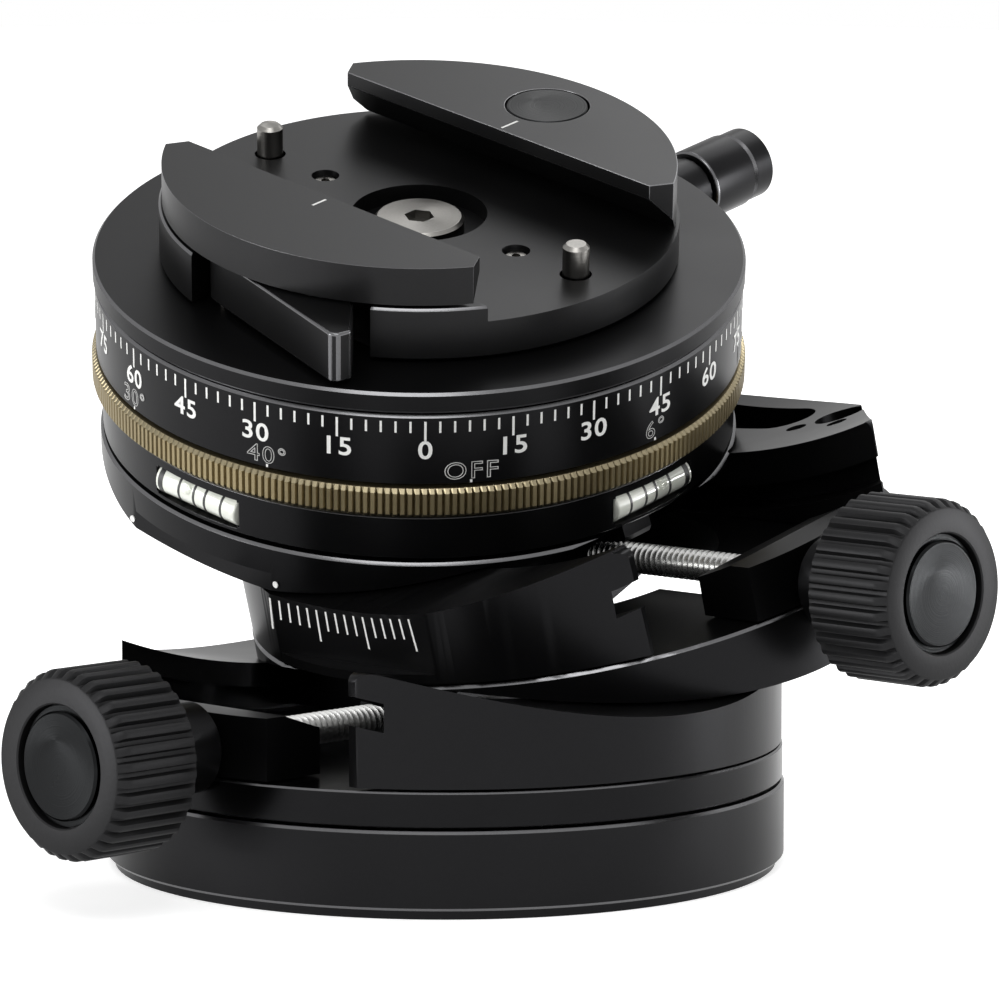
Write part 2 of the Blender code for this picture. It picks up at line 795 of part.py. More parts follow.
# Turning plate with the hub that runs in the drum
shank_bore = screw_shank_radius + gap
plate_profile = [
    (shank_bore, hub_bottom),
    (hub_radius, hub_bottom),
    (hub_radius, plate_low),
    (plate_radius, plate_low),
    (plate_radius, plate_top - edge_break),
    (plate_radius - edge_break, plate_top),
    (shank_bore, plate_top),
]
plate = piece("turning_plate", turned_mesh(plate_profile, large_steps), black, pan_axis)

# Clamp body: disc, raised bed for the moving jaw, well, holes and the lever's slot
clamp_profile = [
    (shank_bore, clamp_bottom),
    (clamp_radius, clamp_bottom),
    (clamp_radius, clamp_top - edge_break),
    (clamp_radius - edge_break, clamp_top),
    (well_radius, clamp_top),
    (well_radius, clamp_top - well_depth),
    (shank_bore, clamp_top - well_depth),
]
clamp = piece("clamp_body", turned_mesh(clamp_profile, large_steps), black, pan_axis)


def segment_outline(radius, face, corner):
    """A slice of a disc beyond y = face, with both pointed ends cut short."""
    tip = math.sqrt(radius ** 2 - face ** 2)
    start = math.atan2(face, tip) + corner / radius
    outline = circle_points(radius, start, math.pi - start, large_steps // 3)
    outline.append((-tip + corner, face))
    outline.append((tip - corner, face))
    return outline


bed_outline = segment_outline(clamp_radius - 2 * edge_break, bed_face, edge_break)
bed_outline = [(x, -y) for x, y in bed_outline]
bed_mesh = prism_mesh(bed_outline, clamp_top - well_depth / 2, bed_top)
combine(clamp, cutter("clamp_bed", bed_mesh, pan_axis), "UNION")
slot_mouth = -clamp_radius - overrun
slot_outline = [
    (lever_slot_left_mouth, slot_mouth),
    (lever_slot_right_mouth, slot_mouth),
    (lever_slot_right_mouth, lever_pivot_y),
    (lever_slot_right, lever_slot_wall),
    (lever_slot_left, lever_slot_wall),
    (lever_slot_left, lever_slot_heel),
]
slot_mesh = prism_mesh(slot_outline, clamp_bottom - overrun, bed_top + overrun)
combine(clamp, cutter("lever_slot", slot_mesh, pan_axis))

# Spring pins that keep a plate from sliding out, each with its own frame on its axis
pin_bore = pin_radius + gap
pin_floor = clamp_top - pin_seat - pin_travel - gap
for letter, side in (("a", -1), ("b", 1)):
    place = (side * pin_place, 0, 0)
    drill(clamp, pin_bore, clamp_bottom - overrun, clamp_top + overrun, pan_axis, place, "pin_bore_" + letter)
    drill(plate, pin_bore, pin_floor, plate_top + overrun, pan_axis, place, "pin_pocket_" + letter)
    pin_axis = frame("stop_pin_axis_" + letter, pan_axis, (side * pin_place, 0, clamp_top))
    pin = [
        (0, -pin_seat),
        (pin_radius, -pin_seat),
        (pin_radius, pin_height - pin_chamfer),
        (pin_radius - pin_chamfer, pin_height),
        (0, pin_height),
    ]
    piece("stop_pin_" + letter, turned_mesh(pin, small_steps), steel, pin_axis)

# Small screws sunk in the clamp's floor
hole_bottom = clamp_top - plate_screw_hole_depth
for letter, side in (("a", -1), ("b", 1)):
    place = (side * plate_screw_place, 0, 0)
    hole_radius = plate_screw_radius + gap
    drill(clamp, hole_radius, hole_bottom, clamp_top + overrun, pan_axis, place, "clamp_hole_" + letter)
    screw_low = hole_bottom + gap
    screw_top = screw_low + plate_screw_height
    rod = [(0, screw_low), (plate_screw_radius, screw_low), (plate_screw_radius, screw_top), (0, screw_top)]
    piece("clamp_screw_" + letter, turned_mesh(rod, small_steps // 2), steel, pan_axis, place)

# Centre screw with a hexagon socket
head_low = clamp_top - well_depth + gap
head_top = head_low + screw_head_height
shank_end = head_low - screw_shank_length
head_profile = [
    (0, shank_end),
    (screw_shank_radius, shank_end),
    (screw_shank_radius, head_low),
    (screw_head_radius, head_low),
    (screw_head_radius, head_top - edge_break),
    (screw_head_radius - edge_break, head_top),
    (0, head_top),
]
centre_screw = piece("centre_screw", turned_mesh(head_profile, small_steps), steel, pan_axis)
socket = [(0, head_top - hex_depth), (hex_radius, head_top - hex_depth)]
socket += [(hex_radius, head_top + overrun), (0, head_top + overrun)]
combine(centre_screw, cutter("hex_socket", turned_mesh(socket, 6), pan_axis))


def jaw_shape(name, face, side, bottom, parent):
    """A jaw: a slice of a disc with a lip and a slanting undercut along its straight face."""
    outline = segment_outline(jaw_radius, face, jaw_corner)
    outline = [(x, side * y) for x, y in outline]
    jaw = piece(name, prism_mesh(outline, bottom, jaw_top), black, parent)
    lip = jaw_top - jaw_lip_height
    low = bottom - overrun
    depth = (lip - low) * jaw_undercut_slope
    wedge = [
        (side * (face - overrun), lip),
        (side * face, lip),
        (side * (face + depth), low),
        (side * (face - overrun), low),
    ]
    combine(jaw, cutter(name + "_undercut", bar_mesh(wedge, clamp_radius + overrun), parent))
    return jaw


# Fixed jaw with its round inlay, and the moving jaw on its own frame
fixed_jaw = jaw_shape("fixed_jaw", fixed_jaw_face, 1, fixed_jaw_bottom, pan_axis)
cap_place = (0, jaw_cap_place, 0)
cap_low = jaw_top - jaw_cap_thickness
drill(fixed_jaw, jaw_cap_radius + gap, cap_low - gap, jaw_top + overrun, pan_axis, cap_place, "cap_pocket")
cap_profile = [(0, cap_low), (jaw_cap_radius, cap_low), (jaw_cap_radius, jaw_top), (0, jaw_top)]
piece("fixed_jaw_cap", turned_mesh(cap_profile, small_steps), black_cap, pan_axis, cap_place)
jaw_slide = frame("moving_jaw_slide", pan_axis)
jaw_shape("moving_jaw", moving_jaw_face, -1, moving_jaw_bottom, jaw_slide)

# Clamp lever, a flat bar with a round heel, turned out from its slot
lever_place = (lever_pivot_x, lever_pivot_y, 0)
lever_axis = frame("lever_axis", pan_axis, lever_place, (0, 0, -lever_angle))
lever_low = clamp_bottom + gap
lever_top = moving_jaw_bottom - gap
lever_outline = circle_points(lever_heel_radius, quarter, 3 * quarter, small_steps // 2)
lever_outline += [
    (lever_length - lever_tip_break, -lever_heel_radius),
    (lever_length, -lever_heel_radius + lever_tip_break),
    (lever_length, lever_tip_inner),
    (lever_corner_start, lever_corner_offset),
    (lever_corner_end, lever_corner_offset + lever_corner_break),
]
lever = piece("clamp_lever", prism_mesh(lever_outline, lever_low, lever_top), black, lever_axis)
pin_hole = lever_pin_radius + gap
drill(lever, pin_hole, lever_low - overrun, lever_top + overrun, lever_axis, (0, 0, 0), "lever_pin_hole")
pin_low = plate_top - lever_pin_depth
drill(plate, pin_hole, pin_low - gap, plate_top + overrun, pan_axis, lever_place, "lever_pin_seat")
lever_pin = [(0, pin_low), (lever_pin_radius, pin_low), (lever_pin_radius, lever_top), (0, lever_top)]
piece("lever_pin", turned_mesh(lever_pin, small_steps // 2), steel, pan_axis, lever_place)
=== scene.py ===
# %% [markdown]
# # A geared levelling head
# The real object sits between a tripod and a camera. Two stages slide on large arcs, so the camera
# tips about a point above the head, and a worm with a knob drives each stage. On top are a degree
# drum that turns and a clamp for the camera's plate.
# The solids of the part are already there as a frame. This script makes the pieces that the eye
# sees: turned discs with crisp edges, ridged knobs, threads, engraved scales and their finishes.

# %% Load the frame
import json
import math

import bpy
from mathutils import Matrix, Vector


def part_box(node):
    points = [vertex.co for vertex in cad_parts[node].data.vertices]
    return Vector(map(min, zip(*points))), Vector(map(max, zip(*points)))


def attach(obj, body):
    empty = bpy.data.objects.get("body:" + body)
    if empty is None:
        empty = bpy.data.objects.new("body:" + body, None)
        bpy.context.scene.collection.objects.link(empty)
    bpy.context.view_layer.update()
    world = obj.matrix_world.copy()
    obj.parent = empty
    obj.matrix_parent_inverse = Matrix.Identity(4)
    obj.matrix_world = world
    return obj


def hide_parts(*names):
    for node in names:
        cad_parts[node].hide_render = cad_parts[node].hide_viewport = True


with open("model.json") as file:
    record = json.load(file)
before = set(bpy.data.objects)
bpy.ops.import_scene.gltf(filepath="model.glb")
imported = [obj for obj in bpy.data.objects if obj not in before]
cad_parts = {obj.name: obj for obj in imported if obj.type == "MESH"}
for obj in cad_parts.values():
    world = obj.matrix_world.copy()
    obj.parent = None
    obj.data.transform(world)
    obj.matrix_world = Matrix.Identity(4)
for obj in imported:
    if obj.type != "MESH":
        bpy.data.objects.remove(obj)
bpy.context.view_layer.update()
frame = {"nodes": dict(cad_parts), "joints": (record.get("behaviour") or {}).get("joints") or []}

# %% [markdown]
# ## Where each stage stands
# Every piece is modelled upright in millimetres, round the Z axis of its own stage, and is put in
# its place at the end. The two tilt axes come from the record, so the pieces follow the solids.
# The heights on a stage are counted from its floor, because that is how a fitter would measure.

# %% Stages
mm = 0.001
arc_radius = 88.0
stage_tilt = math.radians(15)
quarter_turn = Matrix.Rotation(math.pi / 2, 4, "Z")
to_metres = Matrix.Scale(mm, 4)
joints = {joint["name"]: joint for joint in frame["joints"]}
lower_point = Vector(joints["lower_tilt"]["pos_m"])
upper_point = Vector(joints["upper_tilt"]["pos_m"])
arc_down = Matrix.Translation((0, 0, -arc_radius))
tip = Matrix.Rotation(stage_tilt, 4, "X")
lean = Matrix.Rotation(stage_tilt, 4, "Y")

ground = to_metres
lower_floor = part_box("lower_plate")[1].z
lower_stage = Matrix.Translation((0, 0, lower_floor)) @ to_metres
middle = Matrix.Translation(lower_point) @ tip @ to_metres @ arc_down
middle_top = 7.65
upper_stage = middle @ Matrix.Translation((0, 0, middle_top)) @ quarter_turn
level = Matrix.Translation(upper_point) @ tip @ lean @ to_metres @ arc_down
level_stage = level @ quarter_turn
lower_arc_height = lower_point.z / mm - lower_floor / mm
upper_arc_height = 94.5
print("Arc centres", round(lower_arc_height, 2), "and", upper_arc_height, "mm above the two floors")

# %% [markdown]
# ## The lathe
# Most pieces of this head are turned on a lathe, so they are made the same way here: half of the
# section is drawn point by point with the extrude tool, and the spin tool carries it round Z. The
# chamfers are drawn in the section, because a chamfer is what catches the light on black metal.


# %% A turned piece
def only(piece):
    """Leaves one object selected and active."""
    bpy.ops.object.select_all(action="DESELECT")
    piece.select_set(True)
    bpy.context.view_layer.objects.active = piece


def edit_all(piece):
    """Edit mode on one piece with everything selected."""
    only(piece)
    bpy.ops.object.mode_set(mode="EDIT")
    bpy.ops.mesh.select_all(action="SELECT")


def joined(pieces):
    """Joins pieces into the first of them."""
    only(pieces[0])
    for piece in pieces:
        piece.select_set(True)
    bpy.ops.object.join()
    return pieces[0]


def move(x=0.0, y=0.0, z=0.0):
    """A shift in millimetres."""
    return Matrix.Translation((x, y, z))


def turn_by(degrees):
    """A turn round Z."""
    return Matrix.Rotation(math.radians(degrees), 4, "Z")


def draw_line(points):
    """A chain of edges through the points, left in edit mode with everything selected."""
    bpy.ops.object.select_all(action="DESELECT")
    bpy.ops.mesh.primitive_plane_add(size=1)
    bpy.ops.object.mode_set(mode="EDIT")
    bpy.ops.mesh.select_all(action="SELECT")
    bpy.ops.mesh.merge(type="CENTER")
    bpy.ops.transform.translate(value=points[0])
    for start, end in zip(points, points[1:]):
        step = [b - a for a, b in zip(start, end)]
        bpy.ops.mesh.extrude_vertices_move(TRANSFORM_OT_translate={"value": step})
    bpy.ops.mesh.select_all(action="SELECT")


def turned(section, steps=192):
    """A (radius, height) section spun round Z. A ring's section is closed on its first point."""
    if section[0][0] or section[-1][0]:
        section = list(section) + [section[0]]
    draw_line([(radius, 0, height) for radius, height in section])
    bpy.ops.mesh.spin(steps=steps, angle=math.tau, center=(0, 0, 0), axis=(0, 0, 1))
    bpy.ops.mesh.select_all(action="SELECT")
    bpy.ops.mesh.remove_doubles(threshold=0.0005)
    bpy.ops.mesh.normals_make_consistent(inside=False)
    bpy.ops.object.mode_set(mode="OBJECT")
    return bpy.context.active_object


def rounded(corners, chamfer=0.25):
    """A section whose named corners are chamfered: each corner is (radius, height, chamfered)."""
    section = []
    count = len(corners)
    for index, (radius, height, cut) in enumerate(corners):
        if not cut:
            section.append((radius, height))
            continue
        here = Vector((radius, height))
        for other in (corners[index - 1], corners[(index + 1) % count]):
            way = Vector(other[:2]) - here
            section.append(tuple(here + way.normalized() * min(chamfer, way.length / 2)))
    return section


def plug(radius, low, high, chamfer, low_cut=1, high_cut=1, steps=192):
    """A solid turned cylinder, chamfered at the ends that are marked."""
    corners = [(0, low, 0), (radius, low, low_cut), (radius, high, high_cut), (0, high, 0)]
    return turned(rounded(corners, chamfer), steps)


def edged(piece, least=0.45, most=0.9):
    """Puts the small slanting faces of a turned piece into the second slot."""
    two_slots(piece)
    for face in piece.data.polygons:
        if least < abs(face.normal.z) < most:
            face.material_index = 1
    return piece


def raised(outline, low, high):
    """A prism: the outline is drawn, filled, and pulled up."""
    draw_line([(x, y, low) for x, y in outline])
    bpy.ops.mesh.edge_face_add()
    bpy.ops.mesh.extrude_region_move(TRANSFORM_OT_translate={"value": (0, 0, high - low)})
    bpy.ops.mesh.select_all(action="SELECT")
    bpy.ops.mesh.normals_make_consistent(inside=False)
    bpy.ops.object.mode_set(mode="OBJECT")
    return bpy.context.active_object


def arc_points(radius, start, end, steps, centre=(0, 0)):
    """Points on a circle between two angles in degrees."""
    points = []
    for step in range(steps + 1):
        angle = math.radians(start + (end - start) * step / steps)
        points.append((centre[0] + radius * math.cos(angle), centre[1] + radius * math.sin(angle)))
    return points


print("Lathe ready")

# %% [markdown]
# ## Cutting and softening
# Slots, windows and arcs are milled out with a Boolean modifier. A milled piece then gets a small
# bevel on every sharp edge. Without one, an edge has no width and can't show a highlight.


# %% Cutting tools
def apply(piece, modifier):
    only(piece)
    bpy.ops.object.modifier_apply(modifier=modifier.name)


def settle(piece):
    """Applies a piece's own place, turn and size to its mesh."""
    only(piece)
    bpy.ops.object.transform_apply(location=True, rotation=True, scale=True)
    return piece


def cut(piece, tool, operation="DIFFERENCE"):
    """A Boolean with one tool, which is used up."""
    step = piece.modifiers.new("cut", "BOOLEAN")
    step.operation = operation
    step.solver = "EXACT"
    step.object = tool
    apply(piece, step)
    bpy.data.objects.remove(tool)
    return piece


def block(low, high):
    """A box between two corners, used as a tool."""
    size = [b - a for a, b in zip(low, high)]
    centre = [(a + b) / 2 for a, b in zip(low, high)]
    bpy.ops.object.select_all(action="DESELECT")
    bpy.ops.mesh.primitive_cube_add(size=1, location=centre, scale=size)
    return settle(bpy.context.active_object)


def rod(radius, low, high, steps=64, place=(0, 0)):
    """A plain cylinder along Z, used as a tool."""
    bpy.ops.object.select_all(action="DESELECT")
    centre = (place[0], place[1], (low + high) / 2)
    bpy.ops.mesh.primitive_cylinder_add(vertices=steps, radius=radius, depth=high - low, location=centre)
    return settle(bpy.context.active_object)


def arc_bar(radius, centre_height, half_length=42.0):
    """A long cylinder along X whose lowest line is the floor of an arc."""
    bpy.ops.object.select_all(action="DESELECT")
    bpy.ops.mesh.primitive_cylinder_add(
        vertices=512,
        radius=radius,
        depth=2 * half_length,
        location=(0, 0, centre_height),
        rotation=(0, math.pi / 2, 0),
    )
    return settle(bpy.context.active_object)


upright = Matrix(((0, 0, 1, 0), (1, 0, 0, 0), (0, 1, 0, 0), (0, 0, 0, 1)))


def two_slots(piece):
    """One slot for the faces and one for the chamfers, which are filled in later: on black and bronze parts
    with a lighter metal, a painted glint.
    """
    while len(piece.data.materials) < 2:
        piece.data.materials.append(None)
    return piece


def soften(piece, width=0.2, segments=2, limit=32):
    """A bevel on the sharp edges, whose faces go into the second slot."""
    two_slots(piece)
    step = piece.modifiers.new("bevel", "BEVEL")
    step.material = 1
    step.width = width
    step.segments = segments
    step.limit_method = "ANGLE"
    step.angle_limit = math.radians(limit)
    step.miter_outer = "MITER_ARC"
    apply(piece, step)
    return piece


def finish(piece, name, place, body, skin, replaced=(), smooth=28, weighted=True):
    """Names a piece, puts it in its place, hangs it on what it rides on, and hides the solids it takes the
    place of.
    """
    piece.name = name
    piece.data.name = name
    piece.matrix_world = place @ piece.matrix_world
    settle(piece)
    bpy.ops.object.shade_smooth_by_angle(angle=math.radians(smooth), keep_sharp_edges=True)
    if weighted:
        weigh = piece.modifiers.new("weighted", "WEIGHTED_NORMAL")
        weigh.keep_sharp = True
        apply(piece, weigh)
    if not piece.data.materials:
        piece.data.materials.append(skin)
    piece.data.materials[0] = skin
    # The second slot takes the lighter chamfer metal, a painted glint along the edges.
    if len(piece.data.materials) > 1:
        piece.data.materials[1] = painted_glint_of.get(skin.name, skin)
    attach(piece, body)
    if replaced:
        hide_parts(*replaced)
    made.append(name)
    return piece


made = []
painted_glint_of = {}
print("Cutting tools ready")

# %% [markdown]
# ## Finishes
# The head is black anodised aluminium. The film is thin and dark, and its faint grain breaks up the
# reflections. Two effects serve several materials, so each is a node group that is built once: the
# grain of the film, and the rings that a lathe tool leaves, which follow the radius that each turned
# piece carries in its UV map. Both put out plain values, and the shader stays in the material.


# %% Effects shared by the finishes
def effect(name, inputs, outputs):
    """An empty shader group with its sockets."""
    tree = bpy.data.node_groups.new(name, "ShaderNodeTree")
    for socket, kind, value in inputs:
        made_socket = tree.interface.new_socket(socket, in_out="INPUT", socket_type=kind)
        made_socket.default_value = value
    for socket, kind in outputs:
        tree.interface.new_socket(socket, in_out="OUTPUT", socket_type=kind)
    return tree, tree.nodes.new("NodeGroupInput"), tree.nodes.new("NodeGroupOutput")


def node(tree, kind, values=None, links=None, **settings):
    """A shader node with its settings, its plain values and what feeds it."""
    added = tree.nodes.new("ShaderNode" + kind)
    for name, value in settings.items():
        setattr(added, name, value)
    for socket, value in (values or {}).items():
        added.inputs[socket].default_value = value
    for socket, feed in (links or {}).items():
        tree.links.new(feed, added.inputs[socket])
    return added


colour_kind = "NodeSocketColor"
value_kind = "NodeSocketFloat"
grain_inputs = [
    ("Grain size", value_kind, 4000.0),
    ("Dark", colour_kind, (0.01, 0.01, 0.01, 1)),
    ("Light", colour_kind, (0.02, 0.02, 0.02, 1)),
    ("Smooth", value_kind, 0.3),
    ("Rough", value_kind, 0.4),
]
grain_outputs = [("Colour", colour_kind), ("Roughness", value_kind), ("Height", value_kind)]
film_grain, entry, leave = effect("film_grain", grain_inputs, grain_outputs)
given = entry.outputs
where = node(film_grain, "TexCoord").outputs["Object"]
fine = node(film_grain, "TexNoise", {"Detail": 2.0}, {"Vector": where, "Scale": given["Grain size"]})
cloudy = node(film_grain, "TexNoise", {"Scale": 90.0, "Detail": 4.0}, {"Vector": where})
fine_grain, clouds = fine.outputs["Fac"], cloudy.outputs["Fac"]
half_cloud = node(film_grain, "Math", {1: 0.5}, {0: clouds}, operation="MULTIPLY").outputs[0]
both = node(film_grain, "Math", {1: 0.5}, {0: fine_grain, 2: half_cloud}, operation="MULTIPLY_ADD")
shades = {"Factor": both.outputs[0], "A": given["Dark"], "B": given["Light"]}
tone = node(film_grain, "Mix", links=shades, data_type="RGBA")
limits = {"Value": clouds, "To Min": given["Smooth"], "To Max": given["Rough"]}
spread = node(film_grain, "MapRange", links=limits)
film_grain.links.new(tone.outputs["Result"], leave.inputs["Colour"])
film_grain.links.new(spread.outputs["Result"], leave.inputs["Roughness"])
film_grain.links.new(fine_grain, leave.inputs["Height"])

ring_inputs = [("Rings", value_kind, 40.0)]
lathe_rings, entry, leave = effect("lathe_rings", ring_inputs, [("Height", value_kind)])
unwrapped = node(lathe_rings, "UVMap", uv_map="turning").outputs["UV"]
radius_out = node(lathe_rings, "SeparateXYZ", links={"Vector": unwrapped}).outputs["Y"]
counted = {0: radius_out, 1: entry.outputs["Rings"]}
count = node(lathe_rings, "Math", links=counted, operation="MULTIPLY").outputs[0]
uneven = node(lathe_rings, "TexNoise", {"Scale": 1.0, "Detail": 3.0}, {"W": count}, noise_dimensions="1D")
lathe_rings.links.new(uneven.outputs["Fac"], leave.inputs["Height"])
print("Effects:", film_grain.name, lathe_rings.name)

# %% [markdown]
# Anodised metal is treated as metal with a very dark colour, so it reflects little face on and more
# at a glancing angle, as the film does. The knobs are blasted before anodising and look nearly dry.
# The round inlays are turned with a fine feed. Their rings stretch every highlight into a fan, which
# is what the shader's anisotropy does when its tangent runs along the rings.


# %% Materials
glancing = 0.75  # glancing reflections dimmed by a quarter, as painted shade for darker surroundings


def finish_of(name, dark, light, smooth, rough, metal, grain=4000.0, relief=0.02, rings=0.0):
    """A material with grain, and with lathe rings when rings is above zero."""
    surface = bpy.data.materials.new(name)
    surface.use_nodes = True
    tree = surface.node_tree
    shader = tree.nodes["Principled BSDF"]
    shader.inputs["Metallic"].default_value = metal
    # The tint dims every glancing reflection: painted shade for darker surroundings.
    shader.inputs["Specular Tint"].default_value = (glancing, glancing, glancing, 1)
    span = {"Grain size": grain, "Dark": (*dark, 1), "Light": (*light, 1), "Smooth": smooth, "Rough": rough}
    film = node(tree, "Group", span, node_tree=film_grain)
    tree.links.new(film.outputs["Colour"], shader.inputs["Base Color"])
    tree.links.new(film.outputs["Roughness"], shader.inputs["Roughness"])
    height = film.outputs["Height"]
    if rings:
        feed = node(tree, "Group", {"Rings": rings}, node_tree=lathe_rings)
        height = feed.outputs["Height"]
        along = node(tree, "Tangent", direction_type="UV_MAP", uv_map="turning")
        tree.links.new(along.outputs["Tangent"], shader.inputs["Tangent"])
        shader.inputs["Anisotropic"].default_value = 0.75
    bump = node(tree, "Bump", {"Strength": relief, "Distance": 0.0001}, {"Height": height})
    tree.links.new(bump.outputs["Normal"], shader.inputs["Normal"])
    return surface


black = finish_of(
    "anodised_black", (0.008, 0.008, 0.0085), (0.014, 0.014, 0.015), 0.27, 0.37, 0.9
)
black_spun = finish_of(
    "anodised_spun", (0.008, 0.0085, 0.009), (0.015, 0.0155, 0.016), 0.25, 0.32, 1.0,
    relief=0.12, rings=60.0,
)
grip = finish_of(
    "blasted_grip", (0.014, 0.014, 0.0147), (0.024, 0.024, 0.025), 0.45, 0.58, 0.85,
    grain=2500.0, relief=0.12,
)
steel = finish_of(
    "turned_steel", (0.17, 0.165, 0.155), (0.25, 0.243, 0.23), 0.24, 0.34, 1.0,
    relief=0.06, rings=45.0,
)
thread_steel = finish_of(
    "cut_thread", (0.5, 0.5, 0.49), (0.68, 0.68, 0.67), 0.22, 0.32, 1.0, relief=0.03
)
bronze = finish_of(
    "olive_bronze", (0.19, 0.15, 0.08), (0.28, 0.235, 0.14), 0.34, 0.46, 0.9
)
black_fine = finish_of(
    "anodised_fine", (0.006, 0.006, 0.0064), (0.011, 0.011, 0.0118), 0.2, 0.28, 0.9
)
black_soft = finish_of(
    "anodised_soft", (0.008, 0.008, 0.0085), (0.013, 0.013, 0.0138), 0.33, 0.42, 0.9
)
black_clamp = finish_of(
    "anodised_clamp", (0.016, 0.016, 0.0165), (0.025, 0.025, 0.0258), 0.3, 0.4, 0.9
)
# Chamfers and bevels of the black and bronze parts get a lighter metal: a painted glint along every edge,
# partly also the brighter metal of a cut edge.
black_painted_glint = finish_of(
    "anodised_painted_glint", (0.1, 0.1, 0.104), (0.16, 0.16, 0.165), 0.22, 0.3, 1.0
)
bronze_painted_glint = finish_of(
    "bronze_painted_glint", (0.19, 0.16, 0.1), (0.27, 0.235, 0.155), 0.34, 0.46, 1.0
)
for dark_film in (black, black_fine, black_soft, black_clamp):
    painted_glint_of[dark_film.name] = black_painted_glint
painted_glint_of[bronze.name] = bronze_painted_glint

# %% [markdown]
# The numbers and ticks are cut with a laser and read as a dry off-white. The spirit in the vials is
# pale and cloudy behind clear glass.


# %% Engraving white and the vials' glass
def plain_skin(name, colour, rough, scale):
    """A dry surface with a little mottling."""
    surface = bpy.data.materials.new(name)
    surface.use_nodes = True
    tree = surface.node_tree
    shader = tree.nodes["Principled BSDF"]
    shader.inputs["Roughness"].default_value = rough
    mottling = {"Grain size": scale, "Dark": (*[c * 0.9 for c in colour], 1), "Light": (*colour, 1)}
    film = node(tree, "Group", mottling, node_tree=film_grain)
    tree.links.new(film.outputs["Colour"], shader.inputs["Base Color"])
    return surface


white_mark = plain_skin("engraved_white", (0.82, 0.82, 0.8), 0.6, 3000.0)
grey_mark = plain_skin("engraved_grey", (0.5, 0.5, 0.49), 0.6, 3000.0)
spirit = plain_skin("pale_spirit", (0.8, 0.82, 0.74), 0.25, 400.0)
spirit_shader = spirit.node_tree.nodes["Principled BSDF"]
spirit_shader.inputs["Coat Weight"].default_value = 1.0
vial_line = plain_skin("vial_line", (0.01, 0.01, 0.01), 0.4, 400.0)
glass = bpy.data.materials.new("vial_tube")
glass.use_nodes = True
glass_shader = glass.node_tree.nodes["Principled BSDF"]
glass_shader.inputs["Base Color"].default_value = (0.97, 0.98, 0.95, 1)
glass_shader.inputs["Roughness"].default_value = 0.03
glass_shader.inputs["IOR"].default_value = 1.47
glass_shader.inputs["Transmission Weight"].default_value = 1.0
print("Marks and glass ready")


# %% [markdown]
# The lathe rings need to know how far out a point lies. That goes into a UV map, written before the
# piece leaves the lathe, because afterwards its own axis is no longer Z.

# %% The radius of a turned piece, kept in a UV map
def mark_turning(piece):
    """Writes angle and radius round Z, in turns and centimetres, before the piece is placed."""
    turning = piece.data.uv_layers.new(name="turning")
    for face in piece.data.polygons:
        middle_angle = math.atan2(face.center.y, face.center.x)
        for loop in face.loop_indices:
            point = piece.data.vertices[piece.data.loops[loop].vertex_index].co
            angle = math.atan2(point.y, point.x) - middle_angle
            angle = middle_angle + (angle + math.pi) % math.tau - math.pi
            radius = math.hypot(point.x, point.y)
            along = radius + abs(point.z)
            turning.data[loop].uv = (angle / math.tau, along / 10)
    return piece


# %% [markdown]
# ## The base
# A broad disc on a slightly smaller foot. The plate above it is a second disc of nearly the same
# size, and the hair line between the two is a real gap with a chamfer on each side.

# %% Base, bush and plate
chamfer = 0.3
stage_radius = 37.3
base_corners = [(8.3, 0, 0), (36.6, 0, 0), (36.6, 1.0, 0), (37.5, 1.0, 1), (37.5, 9.4, 1), (8.3, 9.4, 0)]
base = edged(turned(rounded(base_corners, chamfer)))
finish(base, "base_turned", ground, "base", black, ["base_disc"])

bush_low, bush_top, bush_radius, thread_root, thread_crest = 0.3, 9.4, 8.0, 4.6, 4.15
bush_profile = [(bush_radius, bush_low), (bush_radius, bush_top), (thread_root, bush_top)]
thread_pitch = 1.5875
height = bush_top
while height > bush_low + thread_pitch:
    crest_start, crest_end = height - 0.45 * thread_pitch, height - 0.55 * thread_pitch
    bush_profile += [(thread_root, height), (thread_crest, crest_start), (thread_crest, crest_end)]
    height -= thread_pitch
bush_profile += [(thread_root, height), (4.9, bush_low)]
bush = mark_turning(turned(bush_profile, 64))
finish(bush, "bush_threaded", ground, "base", steel, ["tripod_bush"])

plate_bottom = 9.7
plate_top = lower_floor / mm
plate = edged(plug(stage_radius, plate_bottom, plate_top, 0.2))
finish(plate, "plate_turned", ground, "base", black_fine, ["lower_plate"])
print("Base made:", made)

# %% [markdown]
# ## The cradles
# Each stage has two walls. A wall is a slice of a disc whose top is milled to an arc of 88 mm, so the
# body above can glide in it, and a groove inside holds that body's runner. The wall's side, with its
# arc, is drawn, pulled across and cut to a cylinder. The groove is a Boolean, as it would be a cut.


# %% A cradle wall
wall_radius = 37.2
channel_half_width = 17.5
running_gap = 0.3


def slice_off(piece, point, normal):
    """Cuts away what lies beyond a plane, and closes the cut."""
    edit_all(piece)
    bpy.ops.mesh.bisect(plane_co=point, plane_no=normal, use_fill=True, clear_outer=True)
    bpy.ops.object.mode_set(mode="OBJECT")
    return piece


def groove_tool(side, inner, lip_face, reach, arc_height):
    """A ring whose section is the groove, lying round the tilt axis."""
    lip, above, below = arc_radius + 3.0, arc_radius - 2.0, arc_radius + 5.9
    section = [(above, inner), (above, lip_face), (lip, lip_face)]
    section += [(lip, reach), (below, reach), (below, inner)]
    tool = turned(section, 360)
    tool.rotation_euler = (0, side * math.pi / 2, 0)
    tool.location = (0, 0, arc_height)
    return settle(tool)


def fillet(before, corner, after, radius, steps=6):
    """Points of a round that is drawn in place of a corner."""
    here = Vector(corner)
    first = (Vector(before) - here).normalized()
    second = (Vector(after) - here).normalized()
    half = first.angle(second) / 2
    centre = here + (first + second).normalized() * radius / math.sin(half)
    start = here + first * radius / math.tan(half) - centre
    end = here + second * radius / math.tan(half) - centre
    return [tuple(centre + start.slerp(end, step / steps)) for step in range(steps + 1)]


